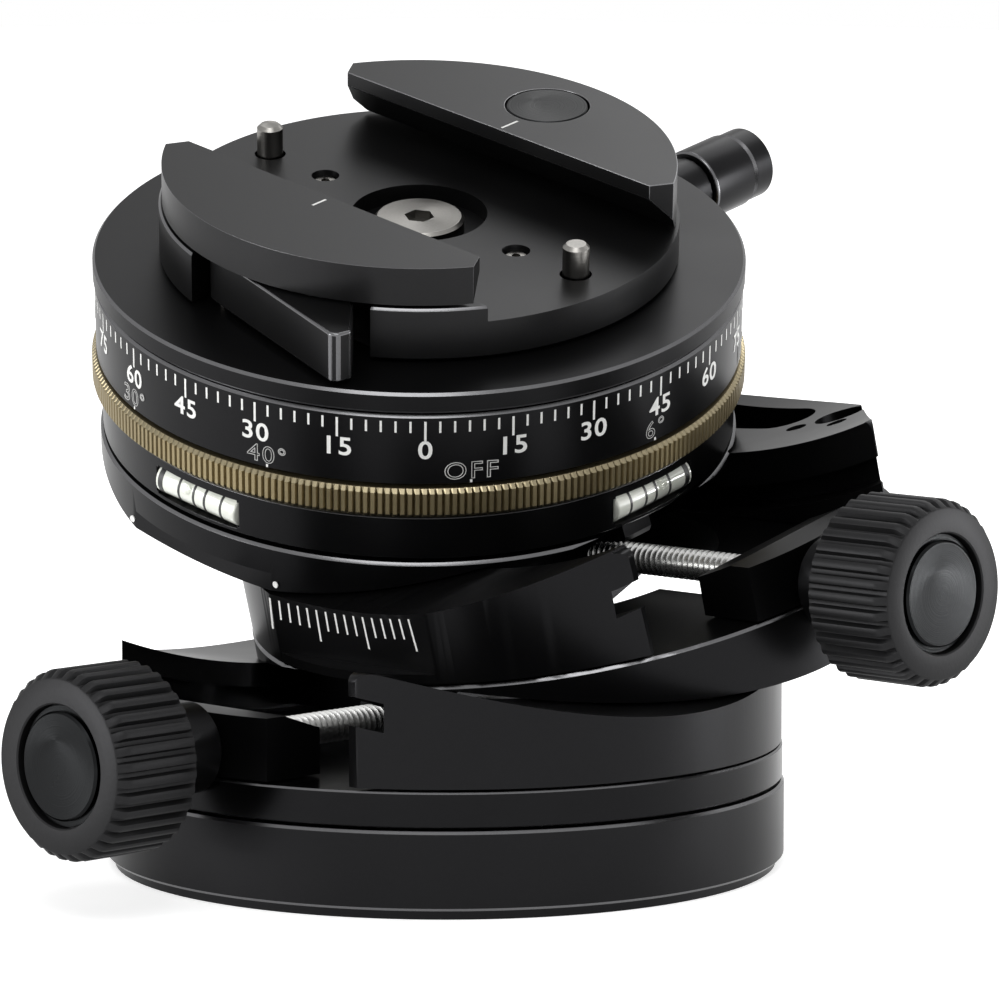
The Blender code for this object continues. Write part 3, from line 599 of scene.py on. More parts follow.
def cradle_wall(
    side, arc_height, lip_face, reach, half_length, crown, round_off,
    clear=arc_radius + running_gap, inner=None,
):
    """One wall in the frame of its stage's floor, drawn from the side and pulled across."""
    crown_start = math.sqrt(clear**2 - (arc_height - crown) ** 2)
    start = math.degrees(math.asin(crown_start / clear))
    arc = [(y, arc_height + z) for y, z in arc_points(clear, -90 + start, -90 - start, 96)]
    corner = (half_length, crown)
    right_round = fillet((half_length, 0), corner, (0, crown), round_off)
    left_round = [(-y, z) for y, z in reversed(right_round)]
    outline = [(half_length, running_gap)] + right_round + arc + left_round + [(-half_length, running_gap)]
    inner = inner or lip_face
    wall = raised(outline, min(side * inner, side * 40), max(side * inner, side * 40))
    wall.data.transform(upright)
    cut(wall, rod(wall_radius, 0, 30, 256), "INTERSECT")
    cut(wall, groove_tool(side, channel_half_width - 2.0, lip_face + 0.01, reach, arc_height))
    return wall


def chop(wall, side, distance=35.4):
    """Takes the outer corners off the ends of a wall."""
    for end in (-1, 1):
        tool = block((distance, -20, -1), (distance + 20, 20, 30))
        tool.data.transform(turn_by(math.degrees(math.atan2(end, side))))
        cut(wall, tool)
    return wall


right_lip, right_reach = 17.8, 21.4
left_lip, left_reach = 20.6, 23.4
edge = 0.22
wall = cradle_wall(-1, lower_arc_height, left_lip, left_reach, 32.0, 12.2, 0.9, inner=channel_half_width)
wall = chop(wall, -1)
wall = soften(wall, edge)
finish(wall, "lower_wall_left_milled", lower_stage, "base", black, ["lower_wall_left"])
wall = soften(cradle_wall(1, lower_arc_height, right_lip, right_reach, 32.0, 12.2, 0.9), edge)
finish(wall, "lower_wall_right_milled", lower_stage, "base", black, ["lower_wall_right"])
print("Lower walls made")

# %% [markdown]
# The upper stage is the same, turned a quarter turn. Its front wall is planed flat for the tilt scale
# and its rear wall has a long pocket, a hole drawn without its thread, and two small screws.

# %% Upper walls
upper_clear = 87.0
front = cradle_wall(-1, upper_arc_height, left_lip, left_reach, 30.7, 12.6, 1.3, upper_clear)
scale_flat = 35.2
cut(front, block((-40, -32, 1.4), (-scale_flat, 32, 20)))
finish(soften(front, edge), "upper_wall_front_milled", upper_stage, "middle", black, ["upper_wall_front"])

rear = chop(cradle_wall(1, upper_arc_height, right_lip, right_reach, 32.0, 13.2, 0.9, upper_clear), 1)
pocket_centre, pocket_round, pocket_end = 30.15, 3.65, 7.55
pocket_outline = arc_points(pocket_round, 0, 180, 20, (pocket_centre, pocket_end))
pocket_outline += arc_points(pocket_round, 180, 360, 20, (pocket_centre, -pocket_end))
pocket_floor = upper_arc_height - upper_clear - 2.6
cut(rear, raised(pocket_outline, pocket_floor, 20))
hole_place = (29.5, -16.8)
cut(rear, rod(3.0, pocket_floor, 20, 48, hole_place))
small_screws = [("a", 26.2, 12.8), ("b", 25.8, 19.5)]
for letter, across, along in small_screws:
    surface = upper_arc_height - math.sqrt(upper_clear**2 - along**2)
    cut(rear, rod(1.2, surface - 3.2, 20, 32, (across, -along)))
finish(soften(rear, edge), "upper_wall_rear_milled", upper_stage, "middle", black, ["upper_wall_rear"])


def socket_screw(radius, low, top, socket_radius, socket_depth, steps=48):
    """A turned screw head with a hexagon socket."""
    screw = plug(radius, low, top, radius * 0.12, low_cut=0, steps=steps)
    cut(screw, rod(socket_radius, top - socket_depth, top + 1, 6))
    return screw


for letter, across, along in small_screws:
    surface = upper_arc_height - math.sqrt(upper_clear**2 - along**2)
    screw = mark_turning(socket_screw(0.9, surface - 2.9, surface - 0.4, 0.42, 0.6))
    place = upper_stage @ move(across, -along)
    finish(screw, "wall_screw_turned_" + letter, place, "middle", steel, ["upper_wall_screw_" + letter])
print("Upper walls made")

# %% [markdown]
# ## Worms and knobs
# A block in the floor of each cradle carries the worm. The thread is one zigzag of teeth carried
# round by the Screw modifier with an offset of one pitch. The knob is a turned blank. Its ridges are
# made by taking every eighth column of faces and pushing it towards the axis.


# %% Bearing block, worm, neck, knob and cap
def bearing_block(arc_height, worm_height):
    half_width, front_radius, back = 9.5, 37.2, 28.3
    spread = math.degrees(math.asin(half_width / front_radius))
    outline = arc_points(front_radius, -90 - spread, -90 + spread, 24)
    outline += [(half_width, -back), (-half_width, -back)]
    body = raised(outline, running_gap, arc_height - arc_radius)
    cut(body, arc_bar(arc_radius + 6.1, arc_height))
    bore = rod(2.0, back - 2, front_radius + 2)
    bore.rotation_euler = (math.pi / 2, 0, 0)
    bore.location = (0, 0, worm_height)
    cut(body, settle(bore))
    return soften(body, edge)


def thread(crest, root, pitch, low, high, steps=32):
    """A threaded rod along Z with square cut ends."""
    points = []
    height = low - 2 * pitch
    while height < high + 2 * pitch:
        for radius, share in ((root, 0.0), (crest, 0.44), (crest, 0.5), (root, 0.94)):
            points.append((radius, 0, height + share * pitch))
        height += pitch
    draw_line(points)
    bpy.ops.object.mode_set(mode="OBJECT")
    worm = bpy.context.active_object
    step = worm.modifiers.new("screw", "SCREW")
    step.steps = steps
    step.render_steps = steps
    step.screw_offset = pitch
    step.use_merge_vertices = True
    step.merge_threshold = 0.001
    apply(worm, step)
    slice_off(worm, (0, 0, low), (0, 0, -1))
    slice_off(worm, (0, 0, high), (0, 0, 1))
    edit_all(worm)
    bpy.ops.mesh.remove_doubles(threshold=0.001)
    bpy.ops.mesh.normals_make_consistent(inside=False)
    bpy.ops.object.mode_set(mode="OBJECT")
    return worm


ridges = 36
columns = 8


def squeeze(piece, chosen, factor):
    """Scales the chosen vertices towards Z."""
    only(piece)
    bpy.ops.object.mode_set(mode="EDIT")
    bpy.ops.mesh.select_all(action="DESELECT")
    bpy.ops.object.mode_set(mode="OBJECT")
    for vertex in piece.data.vertices:
        vertex.select = chosen(vertex.co)
    bpy.ops.object.mode_set(mode="EDIT")
    bpy.ops.transform.resize(value=(factor, factor, 1), center_override=(0, 0, 0))
    bpy.ops.object.mode_set(mode="OBJECT")


def column_of(point, per_ridge, steps):
    """Which column of a ridge a vertex belongs to."""
    angle = math.atan2(point.y, point.x) % math.tau
    return round(angle * steps / math.tau) % per_ridge


def ridged_knob(back, front):
    """The blank is turned first and then ridged."""
    pocket = front - 1.4
    blank = [
        (2.0, back), (8.9, back), (9.5, back + 0.35), (10.1, back + 0.8), (10.1, front - 1.5),
        (9.95, front - 0.95), (9.2, front - 0.12), (9.05, front), (6.65, front), (6.5, front - 0.15),
        (6.5, pocket), (2.0, pocket),
    ]
    steps = ridges * columns
    knob = turned(blank, steps)
    valleys = {0: 0.923, 1: 0.93, 7: 0.93, 2: 0.99, 6: 0.99}
    for column, factor in valleys.items():
        squeeze(
            knob,
            lambda point, column=column: math.hypot(point.x, point.y) > 9.9
            and column_of(point, columns, steps) == column,
            factor,
        )
    return knob


def worm_drive(name, body, place, neck_length):
    """All that turns with one knob. Local Z points out of the head."""
    neck_start = 37.6
    neck_end = neck_start + neck_length
    back = neck_end + running_gap
    front = back + 11.0
    worm = thread(1.75, 1.1, 0.8, 4.0, (back + front) / 2)
    finish(worm, name + "_worm_thread", place, body, thread_steel, [name + "_worm"], 40, False)
    neck_bore, neck_radius = 2.0, 4.9
    neck_corners = [(neck_bore, neck_start, 0), (neck_radius, neck_start, 1)]
    neck_corners += [(neck_radius, neck_end, 0), (neck_bore, neck_end, 0)]
    neck = turned(rounded(neck_corners, 0.6))
    finish(neck, name + "_neck_turned", place, body, black, [name + "_knob_neck"])
    finish(ridged_knob(back, front), name + "_knob_ridged", place, body, grip, [name + "_knob"], 40, False)
    low = front - 1.35
    cap_profile = [
        (0, low), (6.3, low), (6.3, front - 0.75), (5.75, front - 0.75), (5.75, front - 0.35),
        (5.5, front - 0.1), (0, front - 0.1),
    ]
    cap = mark_turning(turned(cap_profile, 128))
    finish(cap, name + "_cap_turned", place, body, black_spun, [name + "_knob_cap"])


lower_worm_rise, upper_worm_rise = 3.2, 1.8
outwards = Matrix.Rotation(math.pi / 2, 4, "X")
lower_block = bearing_block(lower_arc_height, lower_worm_rise)
finish(lower_block, "lower_block_milled", lower_stage, "base", black, ["lower_bearing_block"])
upper_block = bearing_block(upper_arc_height, upper_worm_rise)
finish(upper_block, "upper_block_milled", upper_stage, "middle", black, ["upper_bearing_block"])
lower_drive = lower_stage @ move(z=lower_worm_rise) @ outwards
upper_drive = upper_stage @ move(z=upper_worm_rise) @ outwards
worm_drive("lower", "lower_drive", lower_drive, 7.7)
worm_drive("upper", "upper_drive", upper_drive, 5.5)
print("Both drives made")

# %% [markdown]
# ## The middle stage
# A disc with a gliding underside: its lower face is the cylinder of 88 mm itself, which is made by
# keeping only what a disc and a long cylinder share. A round window and a slot let the worm reach the
# rack below.

# %% Middle disc
blank_low = -2
disc = edged(plug(stage_radius, blank_low, middle_top, chamfer, low_cut=0, steps=256))
cut(disc, arc_bar(arc_radius, arc_radius), "INTERSECT")
cut(disc, rod(16.5, -5, 12, 96))
cut(disc, block((0, -3.5, -5), (28.0, 3.5, 12)))
finish(soften(disc, 0.2, 2, 40), "middle_turned", middle, "middle", black, ["middle_disc"])
print("Middle disc made")

# %% [markdown]
# ## The levelled body
# The slab glides like the middle disc. On it sits the housing with two spirit vials let into its rim,
# then the click stop ring, whose fine teeth are olive bronze, and the drum with the degree scale.

# %% Slab and housing
slab_top = 7.35
slab = edged(plug(36.5, blank_low, slab_top, chamfer, low_cut=0, steps=256))
slab.data.transform(quarter_turn.inverted())
cut(slab, arc_bar(arc_radius, arc_radius), "INTERSECT")
under = upper_clear - running_gap
for side, neck_side in ((-1, left_lip - 0.2), (1, right_lip - 0.2)):
    relief = turned([(under, neck_side), (under, 42), (92, 42), (92, neck_side)], 360)
    relief.data.transform(move(z=arc_radius) @ Matrix.Rotation(side * math.pi / 2, 4, "Y"))
    cut(slab, relief)
index_flat, index_flat_top = 34.9, 4.1
cut(slab, block((-40, -40, -5), (-index_flat, 40, index_flat_top)))
finish(soften(slab, 0.2, 2, 40), "slab_turned", level_stage, "level", black, ["level_slab"])

housing_low, housing_high = 7.65, 13.05
vial_height, vial_distance, vial_half, vial_radius = 10.05, 34.4, 6.2, 1.8
housing = edged(plug(36.2, housing_low, housing_high, chamfer, steps=256))


def lying(piece, heading, distance=vial_distance, height=vial_height):
    """Turns a piece made along Z so that it lies across a heading at a vial's place."""
    piece.data.transform(turn_by(heading) @ move(distance, z=height) @ Matrix.Rotation(math.pi / 2, 4, "X"))
    return piece


front_heading, side_heading = -90, 0
for heading in (front_heading, side_heading):
    cut(housing, lying(rod(vial_radius + 0.15, -vial_half - 0.3, vial_half + 0.3, 48), heading))
    window = [(vial_distance, -vial_half), (45, -vial_half), (45, vial_half), (vial_distance, vial_half)]
    opening = raised(window, vial_height - 1.75, vial_height + 1.75)
    opening.data.transform(turn_by(heading))
    cut(housing, opening)
finish(soften(housing, 0.2, 2, 40), "housing_turned", level, "level", black, ["vial_housing"])
print("Slab and housing made")

# %% [markdown]
# A vial is a glass tube that is nearly full of spirit. The bubble is what the spirit leaves free. Dark
# rings on the tube show where the bubble has to stand.


# %% Vials
vial_rings = ((5.3, 0.35), (2.4, 0.16), (0.1, 0.16), (-1.6, 0.16), (-4.1, 0.16))


def vial(name, heading, cap_end):
    """A vial across a heading, whose thick ring is near its cap end: 1 or -1 along the tube."""
    tube_end, shoulder = vial_radius - 0.25, vial_half - 0.25
    tube_profile = [(0, -vial_half), (tube_end, -vial_half), (vial_radius, -shoulder)]
    tube_profile += [(vial_radius, shoulder), (tube_end, vial_half), (0, vial_half)]
    tube = turned(tube_profile, 48)
    finish(lying(tube, heading), name + "_tube", level, "level", spirit, [name], 60)
    for number, (place, half_width) in enumerate(vial_rings):
        low, high = cap_end * place - half_width, cap_end * place + half_width
        inside, out = vial_radius - 0.1, vial_radius + 0.04
        band = turned([(inside, low), (out, low), (out, high), (inside, high)], 48)
        finish(lying(band, heading), f"{name}_line_{number + 1}", level, "level", vial_line, (), 40)
    half = 1.5
    bubble_profile = [(0, -half), (0.7, -half * 0.85), (1.1, -half * 0.4), (1.15, 0)]
    bubble_profile += [(1.1, half * 0.4), (0.7, half * 0.85), (0, half)]
    bubble = turned(bubble_profile, 32)
    bubble.data.transform(move(z=1.2 * cap_end))
    lifted = lying(bubble, heading, vial_distance + vial_radius - 1.1, vial_height + 0.35)
    finish(lifted, name + "_bubble", level, "level", glass, (), 80)


vial("vial_front", front_heading, 1)
vial("vial_side", side_heading, -1)
print("Vials made")

# %% [markdown]
# The click ring has 288 teeth, far too many to draw one by one. Its blank is turned with four columns
# of faces for each tooth, and one line of points in four is pushed in, which leaves the teeth
# between. The chamfers above and below stay whole.

# %% Click ring
teeth = 288
ring_low, ring_high = 13.35, 16.75
ring_corners = [(31.8, ring_low, 0), (37.3, ring_low, 1), (37.3, ring_high, 1), (31.8, ring_high, 0)]
tooth_columns, crest_from, valley = 4, 37.2, 0.989
ring_steps = tooth_columns * teeth
ring = edged(turned(rounded(ring_corners, 0.45), ring_steps))


def in_valley(point):
    """Whether a vertex is on the outer wall of the ring, between two teeth."""
    outside = math.hypot(point.x, point.y) > crest_from
    return outside and column_of(point, tooth_columns, ring_steps) == 0


squeeze(ring, in_valley, valley)
finish(ring, "click_ring_toothed", level, "click_selector", bronze, ["click_ring"], 15)
print("Click ring made with", teeth, "teeth")

# %% [markdown]
# The drum is a cup with a thick wall. Its outside carries the scale, and a cross bore in the rear
# takes the shaft of the pan lock.

# %% Degree drum
drum_low, drum_high = 17.05, 25.55
drum_radius = 36.8
drum_corners = [
    (24.0, drum_high, 0), (24.0, 17.65, 0), (0, 17.65, 0), (0, 13.35, 0), (31.5, 13.35, 0),
    (31.5, drum_low, 0), (drum_radius, drum_low, 1), (drum_radius, drum_high, 1),
]
drum = edged(turned(rounded(drum_corners, 0.3), 256))
lock_height, shaft_radius = 20.65, 2.0
backwards = move(z=lock_height) @ Matrix.Rotation(-math.pi / 2, 4, "X")
lock = level @ backwards
lock_bore = rod(shaft_radius, 20, 42, 48)
lock_bore.data.transform(backwards)
cut(drum, lock_bore)
finish(drum, "drum_turned", level, "level", black, ["scale_drum"])
print("Degree drum made")

# %% [markdown]
# The pan lock on the drum's rear is a small plain knob on a stepped neck. A hair line divides the
# knob from its cap.

# %% Pan lock
shaft = plug(shaft_radius, 24.0, 38.0, 0.3, high_cut=0, steps=48)
finish(shaft, "lock_shaft_turned", lock, "pan_lock", steel, [])
lock_section = [
    (0, 37.6, 0), (3.8, 37.6, 1), (3.8, 46.8, 0), (3.4, 47.0, 0), (3.4, 47.3, 0), (4.2, 47.3, 0),
    (4.5, 47.6, 0), (4.5, 54.3, 1), (0, 54.3, 0),
]
lock_knob = edged(turned(rounded(lock_section, 0.25), 96), 0.6, 0.8)
finish(lock_knob, "lock_knob_turned", lock, "pan_lock", black, ["pan_lock_knob"], 50)
lock_cap = plug(4.3, 54.6, 57.9, 0.3, steps=96)
finish(edged(lock_cap), "lock_cap_turned", lock, "pan_lock", black, ["pan_lock_cap"])
print("Pan lock made")

# %% [markdown]
# ## The head that pans
# The turning plate closes the drum. The clamp stands on it: a disc with a channel across it, one fixed
# jaw, one moving jaw with an undercut that grips the plate's dovetail, and a lever that draws the
# moving jaw in.

# %% Turning plate and clamp body
plate_section = [
    (3.3, 17.95, 0), (23.7, 17.95, 0), (23.7, 25.85, 0), (37.0, 25.85, 1), (37.0, 28.25, 1), (3.3, 28.25, 0),
]
top_plate = edged(turned(rounded(plate_section, 0.3), 256))
pin_distance, pin_pocket_floor, pin_bore = 23.7, 26.75, 1.8
for side in (-1, 1):
    cut(top_plate, rod(pin_bore, pin_pocket_floor, 40, 48, (side * pin_distance, 0)))
finish(top_plate, "turning_plate_turned", level, "pan_head", black_soft, ["turning_plate"])

clamp_radius = 29.4
bed_low, channel_floor, bed_high = 28.55, 32.85, 34.65
body = edged(plug(clamp_radius, bed_low, bed_high, 0.25, steps=256))
bed_edge = 15.6
cut(body, block((-40, -bed_edge, channel_floor), (40, 40, 40)))
well_depth = 2.1
cut(body, rod(7.7, channel_floor - well_depth, 40, 96))
lever_slot = [(-6.9, -31.4), (16.1, -31.4), (16.1, -25.1), (15.3, -22.5), (-8.3, -22.5), (-8.3, -26.8)]
cut(body, raised(lever_slot, 20, 40))
clamp_screw_distance = 14.8
for side in (-1, 1):
    cut(body, rod(pin_bore, bed_low - 1, 40, 48, (side * pin_distance, 0)))
    cut(body, rod(1.6, 31.15, 40, 48, (side * clamp_screw_distance, 0)))
finish(soften(body, 0.15, 2, 40), "clamp_turned", level, "pan_head", black_clamp, ["clamp_body"])
print("Turning plate and clamp body made")

# %% [markdown]
# A jaw is a slice of a disc. A wedge cut out under its straight edge leaves the lip that grips the
# plate. Both jaws come from one function, once for each side of the channel.

# %% Jaws
jaw_radius, jaw_top, jaw_lip, jaw_corner = 29.0, 39.35, 1.7, 2.8
undercut_slope = 0.867


def slice_outline(radius, face, corner, steps=128):
    """A slice of a disc beyond y = face, with both pointed ends cut short."""
    tip = math.sqrt(radius**2 - face**2)
    start = math.degrees(math.atan2(face, tip) + corner / radius)
    outline = arc_points(radius, start, 180 - start, steps)
    return outline + [(-tip + corner, face), (tip - corner, face)]


def jaw(low, face, side):
    """A jaw at positive Y for side 1. A wedge is cut out under its lip."""
    outline = [(x, side * y) for x, y in slice_outline(jaw_radius, face, jaw_corner)]
    blank = raised(outline, low, jaw_top)
    lip = jaw_top - jaw_lip
    drop = lip - low + 1
    before = face - 5
    wedge = [(before, lip), (face, lip), (face + drop * undercut_slope, lip - drop), (before, lip - drop)]
    tool = raised([(side * y, height) for y, height in wedge], -45, 45)
    tool.data.transform(upright)
    return cut(blank, tool)


inlay_radius, inlay_place, inlay_depth = 4.7, 21.4, 0.7
rear_face, front_face = 12.5, 14.3
rear_jaw = jaw(channel_floor + running_gap, rear_face, 1)
cut(rear_jaw, rod(inlay_radius + 0.2, jaw_top - inlay_depth - 0.3, jaw_top + 2, 96, (0, inlay_place)))
finish(soften(rear_jaw, 0.25, 2, 40), "jaw_fixed_milled", level, "pan_head", black_clamp, ["fixed_jaw"])
front_jaw = jaw(bed_high + running_gap, front_face, -1)
finish(soften(front_jaw, 0.25, 2, 40), "jaw_moving_milled", level, "jaw", black_clamp, ["moving_jaw"])

inlay = plug(inlay_radius, jaw_top - inlay_depth, jaw_top, 0.12, low_cut=0, steps=96)
place = level @ move(y=inlay_place)
finish(mark_turning(inlay), "jaw_inlay_turned", place, "pan_head", black_spun, ["fixed_jaw_cap"])
print("Jaws made")

# %% [markdown]
# The lever is a flat bar with a round heel, drawn along X from its pivot and then swung to where it
# stands in the photograph.

# %% Lever
heel, reach = 1.6, 24.9
lever_outline = arc_points(heel, 90, 270, 24)
tip_break = 0.7
lever_outline += [(reach - tip_break, -heel), (reach, -heel + tip_break), (reach, tip_break)]
lever_outline += [(19.4, 4.5), (17.9, 4.8), (16.9, 4.2), (15.6, heel + 0.25), (14.6, heel)]
lever_low, lever_high = 28.85, 34.65
lever = raised(lever_outline, lever_low, lever_high)
pivot = (-5.9, -25.1)
lever_angle = -13.5
swing = move(*pivot) @ turn_by(lever_angle)
cut(lever, rod(0.9, lever_low - 1, lever_high + 1, 32))
finish(soften(lever, 0.3, 3, 40), "lever_milled", level @ swing, "lever", black_clamp, ["clamp_lever"])
pin = mark_turning(plug(0.6, 27.05, lever_high - 0.1, 0.1, low_cut=0, steps=32))
finish(pin, "lever_pin_turned", level @ move(*pivot), "pan_head", steel, ["lever_pin"])
print("Lever made")

# %% [markdown]
# Two sprung pins stop the plate from sliding out. They and the screws are bright steel and turned,
# and the screws are given a hexagon socket where a key goes in.

# %% Pins and screws of the clamp
for letter, side in (("a", -1), ("b", 1)):
    place = level @ move(side * pin_distance)
    pin = mark_turning(plug(1.5, 30.45, 36.55, 0.4, low_cut=0, steps=48))
    finish(pin, "stop_pin_turned_" + letter, place, "pin_" + letter, steel, ["stop_pin_" + letter])
    place = level @ move(side * clamp_screw_distance)
    screw = mark_turning(socket_screw(1.3, 31.45, 32.25, 0.55, 0.5))
    finish(screw, "clamp_screw_turned_" + letter, place, "pan_head", steel, ["clamp_screw_" + letter])

head_low, head_high, head_radius = channel_floor - well_depth + running_gap, 32.45, 5.1
shank_low, shank_radius = head_low - 10.0, 3.0
screw_corners = [(0, shank_low, 0), (shank_radius, shank_low, 0), (shank_radius, head_low, 0)]
screw_corners += [(head_radius, head_low, 0), (head_radius, head_high, 1), (0, head_high, 0)]
screw = turned(rounded(screw_corners, 0.35), 96)
cut(screw, rod(1.73, head_high - 1.0, head_high + 1, 6))
finish(mark_turning(screw), "centre_screw_turned", level, "pan_head", steel, ["centre_screw"])
print("Pins and screws made")

# %% [markdown]
# ## Scales and marks
# The drum carries a degree scale that counts both ways from zero, and below it the steps that the
# click ring can be set to. Each tick is a thin bar. One is drawn and the spin tool repeats it round
# the drum. The numbers are text objects that are given a little thickness and turned into meshes, and
# the settings of the ring are drawn as outlines only.

# %% Ticks
zero_heading = -45.6
tick_top = 24.85
proud = 0.02


def ticks(length, width, first, spacing, count, top=tick_top):
    """Bars round the drum, starting at a heading in degrees."""
    bar = block((drum_radius - 0.1, -width / 2, top - length), (drum_radius + proud, width / 2, top))
    bar.data.transform(turn_by(first))
    edit_all(bar)
    bpy.ops.mesh.spin(
        steps=count - 1,
        dupli=True,
        angle=-math.radians(spacing * (count - 1)),
        center=(0, 0, 0),
        axis=(0, 0, 1),
    )
    bpy.ops.object.mode_set(mode="OBJECT")
    return bar


fine_step, coarse_step = 2.5, 15
per_coarse = int(coarse_step / fine_step)
short_bars = [
    ticks(1.35, 0.24, zero_heading + fine_step * number, coarse_step, 360 // coarse_step)
    for number in range(1, per_coarse)
]
finish(joined(short_bars), "drum_ticks_short", level, "level", white_mark)
long_bars = ticks(2.3, 0.26, zero_heading, coarse_step, 360 // coarse_step)
finish(long_bars, "drum_ticks_long", level, "level", white_mark)
print("Ticks made")


# %% [markdown]
# A number is a text object that gets a little thickness, becomes a mesh, and is stood on the wall of
# the drum. It is drawn slightly wide, because the wall curves away from it.

# %% Numbers
def lettering(words, name, tall, hollow=0.0):
    """Text of a given cap height, centred on its own middle. Hollow is the stroke of an outline."""
    bpy.ops.object.select_all(action="DESELECT")
    bpy.ops.object.text_add()
    text = bpy.context.active_object
    text.data.body = words
    text.data.align_x = "CENTER"
    text.data.resolution_u = 4
    text.data.size = tall / 0.729
    if hollow:
        text.data.fill_mode = "NONE"
        text.data.bevel_depth = hollow
        text.data.bevel_resolution = 1
        text.data.space_character = 1.15
    else:
        text.data.extrude = 0.06
        text.data.offset = 0.02 * tall
        text.data.space_character = 1.1
    bpy.ops.object.convert(target="MESH")
    text.data.transform(Matrix.Diagonal((1.1, 1, 1, 1)) @ move(y=-tall / 2))
    text.name = name
    return text


def on_drum(piece, heading, height, sink=0.04):
    """Stands lettering on the drum's wall."""
    piece.data.transform(turn_by(heading) @ move(drum_radius - sink, z=height) @ upright)
    return piece


number_height, number_size = 21.5, 2.2
for step in range(13):
    value = step * coarse_step
    for side in (-1, 1):
        if side < 0 and value in (0, 180):
            continue
        name = f"drum_number_{value}_{'left' if side < 0 else 'right'}"
        number = lettering(str(value), name, number_size)
        on_drum(number, zero_heading + side * value, number_height)
        finish(number, name, level, "level", white_mark)
print("Numbers made")

# %% [markdown]
# The settings of the click ring are outlines with no fill, drawn with a bevelled curve. Four can be
# seen. The six on the far side are a guess that keeps the same spacing.

# %% Settings of the click ring
settings = [("OFF", -37.8), ("6\u00b0", -1.8), ("40\u00b0", -73.3), ("30\u00b0", -105.7)]
unseen = ["10\u00b0", "12\u00b0", "15\u00b0", "18\u00b0", "20\u00b0", "24\u00b0"]
settings += [(words, -1.8 + 36 * (place + 1)) for place, words in enumerate(unseen)]
for number, (words, heading) in enumerate(settings):
    label = on_drum(lettering(words, "label", 2.1, 0.05), heading, 18.9, 0.02)
    finish(label, f"ring_setting_{number + 1}", level, "level", grey_mark)
    dash = ticks(0.35, 0.26, heading, 1, 1, 17.7)
    finish(dash, f"ring_setting_dash_{number + 1}", level, "level", white_mark)
print("Settings made:", len(settings))

# %% [markdown]
# The tilt scale runs along the arc of the front wall, so each bar is turned about the tilt axis. The
# dots beside it and the dashes on the jaws are indexes.

# %% Tilt scale, index dots and dashes
fine_bars = []
for number in range(16):
    lean_angle = math.radians(-7.95 + 0.947 * number)
    long_bar = number % 5 == 0
    low_end = upper_clear + 0.5
    length = 3.7 if long_bar else 2.3
    bar = block((-scale_flat - proud, -0.13, -low_end - length), (-scale_flat + 0.1, 0.13, -low_end))
    bar.data.transform(move(z=upper_arc_height) @ Matrix.Rotation(-lean_angle, 4, "X"))
    fine_bars.append(bar)
finish(joined(fine_bars), "tilt_scale_ticks", upper_stage, "middle", white_mark)

dot_distance, dot_height, dot_radius, sunk = 11.3, 2.9, 0.38, -0.1
for letter, side in (("a", 1), ("b", -1)):
    dot = turned([(0, sunk), (dot_radius, sunk), (dot_radius, proud), (0, proud)], 24)
    place = level @ move(side * dot_distance, -index_flat, dot_height) @ outwards
    finish(dot, "tilt_index_dot_" + letter, place, "level", white_mark)
dash_blocks = [
    ("rear_jaw_dash", "pan_head", (0.45, 13.0), (0.75, 15.7)),
    ("front_jaw_dash", "jaw", (-0.15, -17.2), (0.15, -15.1)),
]
for name, body_name, low, high in dash_blocks:
    dash = block((*low, jaw_top - 0.1), (*high, jaw_top + proud / 2))
    finish(dash, name, level, body_name, white_mark)
print("Marks made")

# %% [markdown]
# ## What keeps the solids' own shape
# The runners and the toothed racks already have the right shape. They stay, and get the same
# finishes as their neighbours in place of their flat colours.

# %% Finishes on the solids that stay
kept = {
    "black_anodised": black,
    "black_turned_cap": black_spun,
    "black_knurled_grip": grip,
    "stainless_steel": steel,
    "worm_steel": thread_steel,
    "olive_bronze_ring": bronze,
    "vial_glass": glass,
}
for name, solid in frame["nodes"].items():
    for place_in_list in solid.material_slots:
        old = place_in_list.material.name.split(".")[0] if place_in_list.material else "black_anodised"
        place_in_list.material = black if name.endswith("_rack") else kept.get(old, black)
print("Solids that stay have their finishes")

# %% [markdown]
# ## Studio
# Dark metal shows its surroundings more than itself. Two soft panels stand above, and two low ones at
# the sides draw the bright bands on the turned walls. The room is white wherever it is seen, also in
# the metal and the glass, and dimmer as a light, so the colours come out as they are written.

# %% Lights, floor and world
scene = bpy.context.scene


def panel(name, azimuth, elevation, distance, width, height, strength):
    """An area light that faces the head from an azimuth and an elevation in degrees."""
    turn, rise = math.radians(azimuth), math.radians(elevation)
    target = Vector((0, 0, 0.045))
    way = Vector((math.cos(turn) * math.cos(rise), math.sin(turn) * math.cos(rise), math.sin(rise)))
    bpy.ops.object.select_all(action="DESELECT")
    bpy.ops.object.light_add(type="AREA", location=target + way * distance)
    lamp = bpy.context.active_object
    lamp.name = name
    lamp.data.shape = "RECTANGLE"
    lamp.data.size = width
    lamp.data.size_y = height
    lamp.data.energy = strength
    lamp.rotation_euler = (-way).to_track_quat("-Z", "Y").to_euler()
    return lamp


def background_rays(tree):
    """1 for the rays that show the background: the camera's, and those in metal and in glass."""
    rays = node(tree, "LightPath")
    total = rays.outputs["Is Camera Ray"]
    for kind in ("Is Glossy Ray", "Is Transmission Ray"):
        total = node(tree, "Math", links={0: total, 1: rays.outputs[kind]}, operation="MAXIMUM").outputs[0]
    return total


panel("above_camera", -50, 50, 0.9, 0.45, 0.45, 3.0)
panel("behind_above", 106, 50, 0.9, 0.6, 0.6, 3.0)
panel("left_near", -112, 5, 0.3, 0.16, 0.13, 0.6)
panel("right_strip", 48, 5, 0.3, 0.03, 0.13, 0.5)

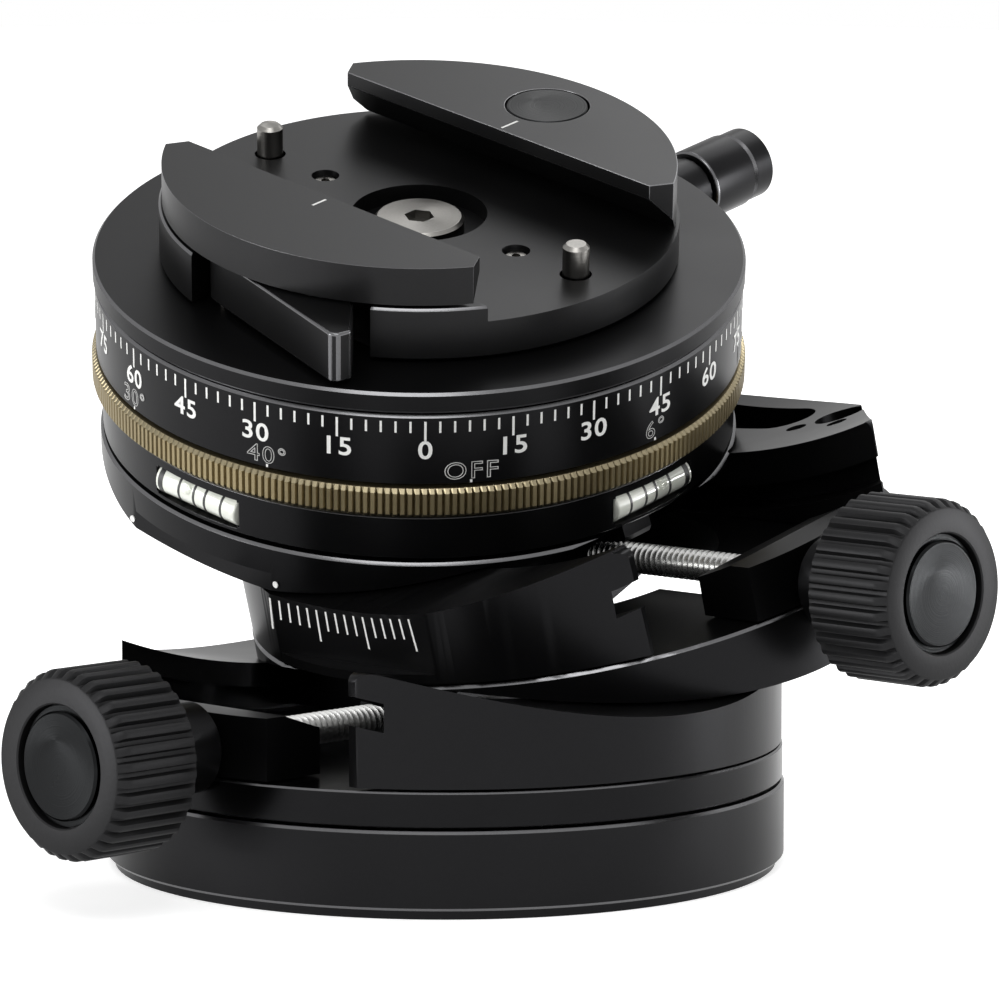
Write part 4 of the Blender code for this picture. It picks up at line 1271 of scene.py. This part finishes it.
room_light, white = 0.3, 1.0
world = bpy.data.worlds.new("room")
scene.world = world
world.use_nodes = True
room = world.node_tree
background = room.nodes["Background"]
strengths = {"A": room_light, "B": white}
seen = node(room, "Mix", strengths, {"Factor": background_rays(room)}, data_type="FLOAT")
room.links.new(seen.outputs["Result"], background.inputs["Strength"])
background.inputs["Color"].default_value = (1, 1, 1, 1)

bpy.ops.object.select_all(action="DESELECT")
bpy.ops.mesh.primitive_plane_add(size=6)
floor = bpy.context.active_object
floor.name = "floor"
paper = bpy.data.materials.new("white_paper")
paper.use_nodes = True
paper_tree = paper.node_tree
paper_shader = paper_tree.nodes["Principled BSDF"]
paper_shader.inputs["Base Color"].default_value = (0.8, 0.8, 0.8, 1)
paper_shader.inputs["Roughness"].default_value = 0.9
spot = node(paper_tree, "TexCoord").outputs["Object"]
far = node(paper_tree, "VectorMath", links={0: spot}, operation="LENGTH").outputs["Value"]
near_the_foot = {"From Min": 0.06, "From Max": 0.22, "To Min": 0.6, "To Max": 1.0}
fade = node(paper_tree, "MapRange", near_the_foot, {"Value": far}, interpolation_type="SMOOTHSTEP")
glow = {0: background_rays(paper_tree), 1: fade.outputs["Result"]}
paper_glow = node(paper_tree, "Math", links=glow, operation="MULTIPLY")
paper_tree.links.new(paper_glow.outputs[0], paper_shader.inputs["Emission Strength"])
paper_shader.inputs["Emission Color"].default_value = (1, 1, 1, 1)
floor.data.materials.append(paper)
print("Studio lit")

# %% [markdown]
# ## Camera
# The photograph was taken from a corner of the head with a long lens, from a little above.

# %% Camera
bpy.ops.object.select_all(action="DESELECT")
bpy.ops.object.camera_add(location=(0.4162, -0.4162, 0.1058))
camera = bpy.context.active_object
aim = Vector((0, 0, 0.045)) - camera.location
camera.rotation_euler = aim.to_track_quat("-Z", "Y").to_euler()
camera.data.lens = 193.25
camera.data.sensor_width = 36
camera.data.shift_x = 0.0547
camera.data.shift_y = -0.0454
camera.data.clip_start = 0.01
scene.camera = camera
scene.view_settings.view_transform = "Standard"
print("Camera set")
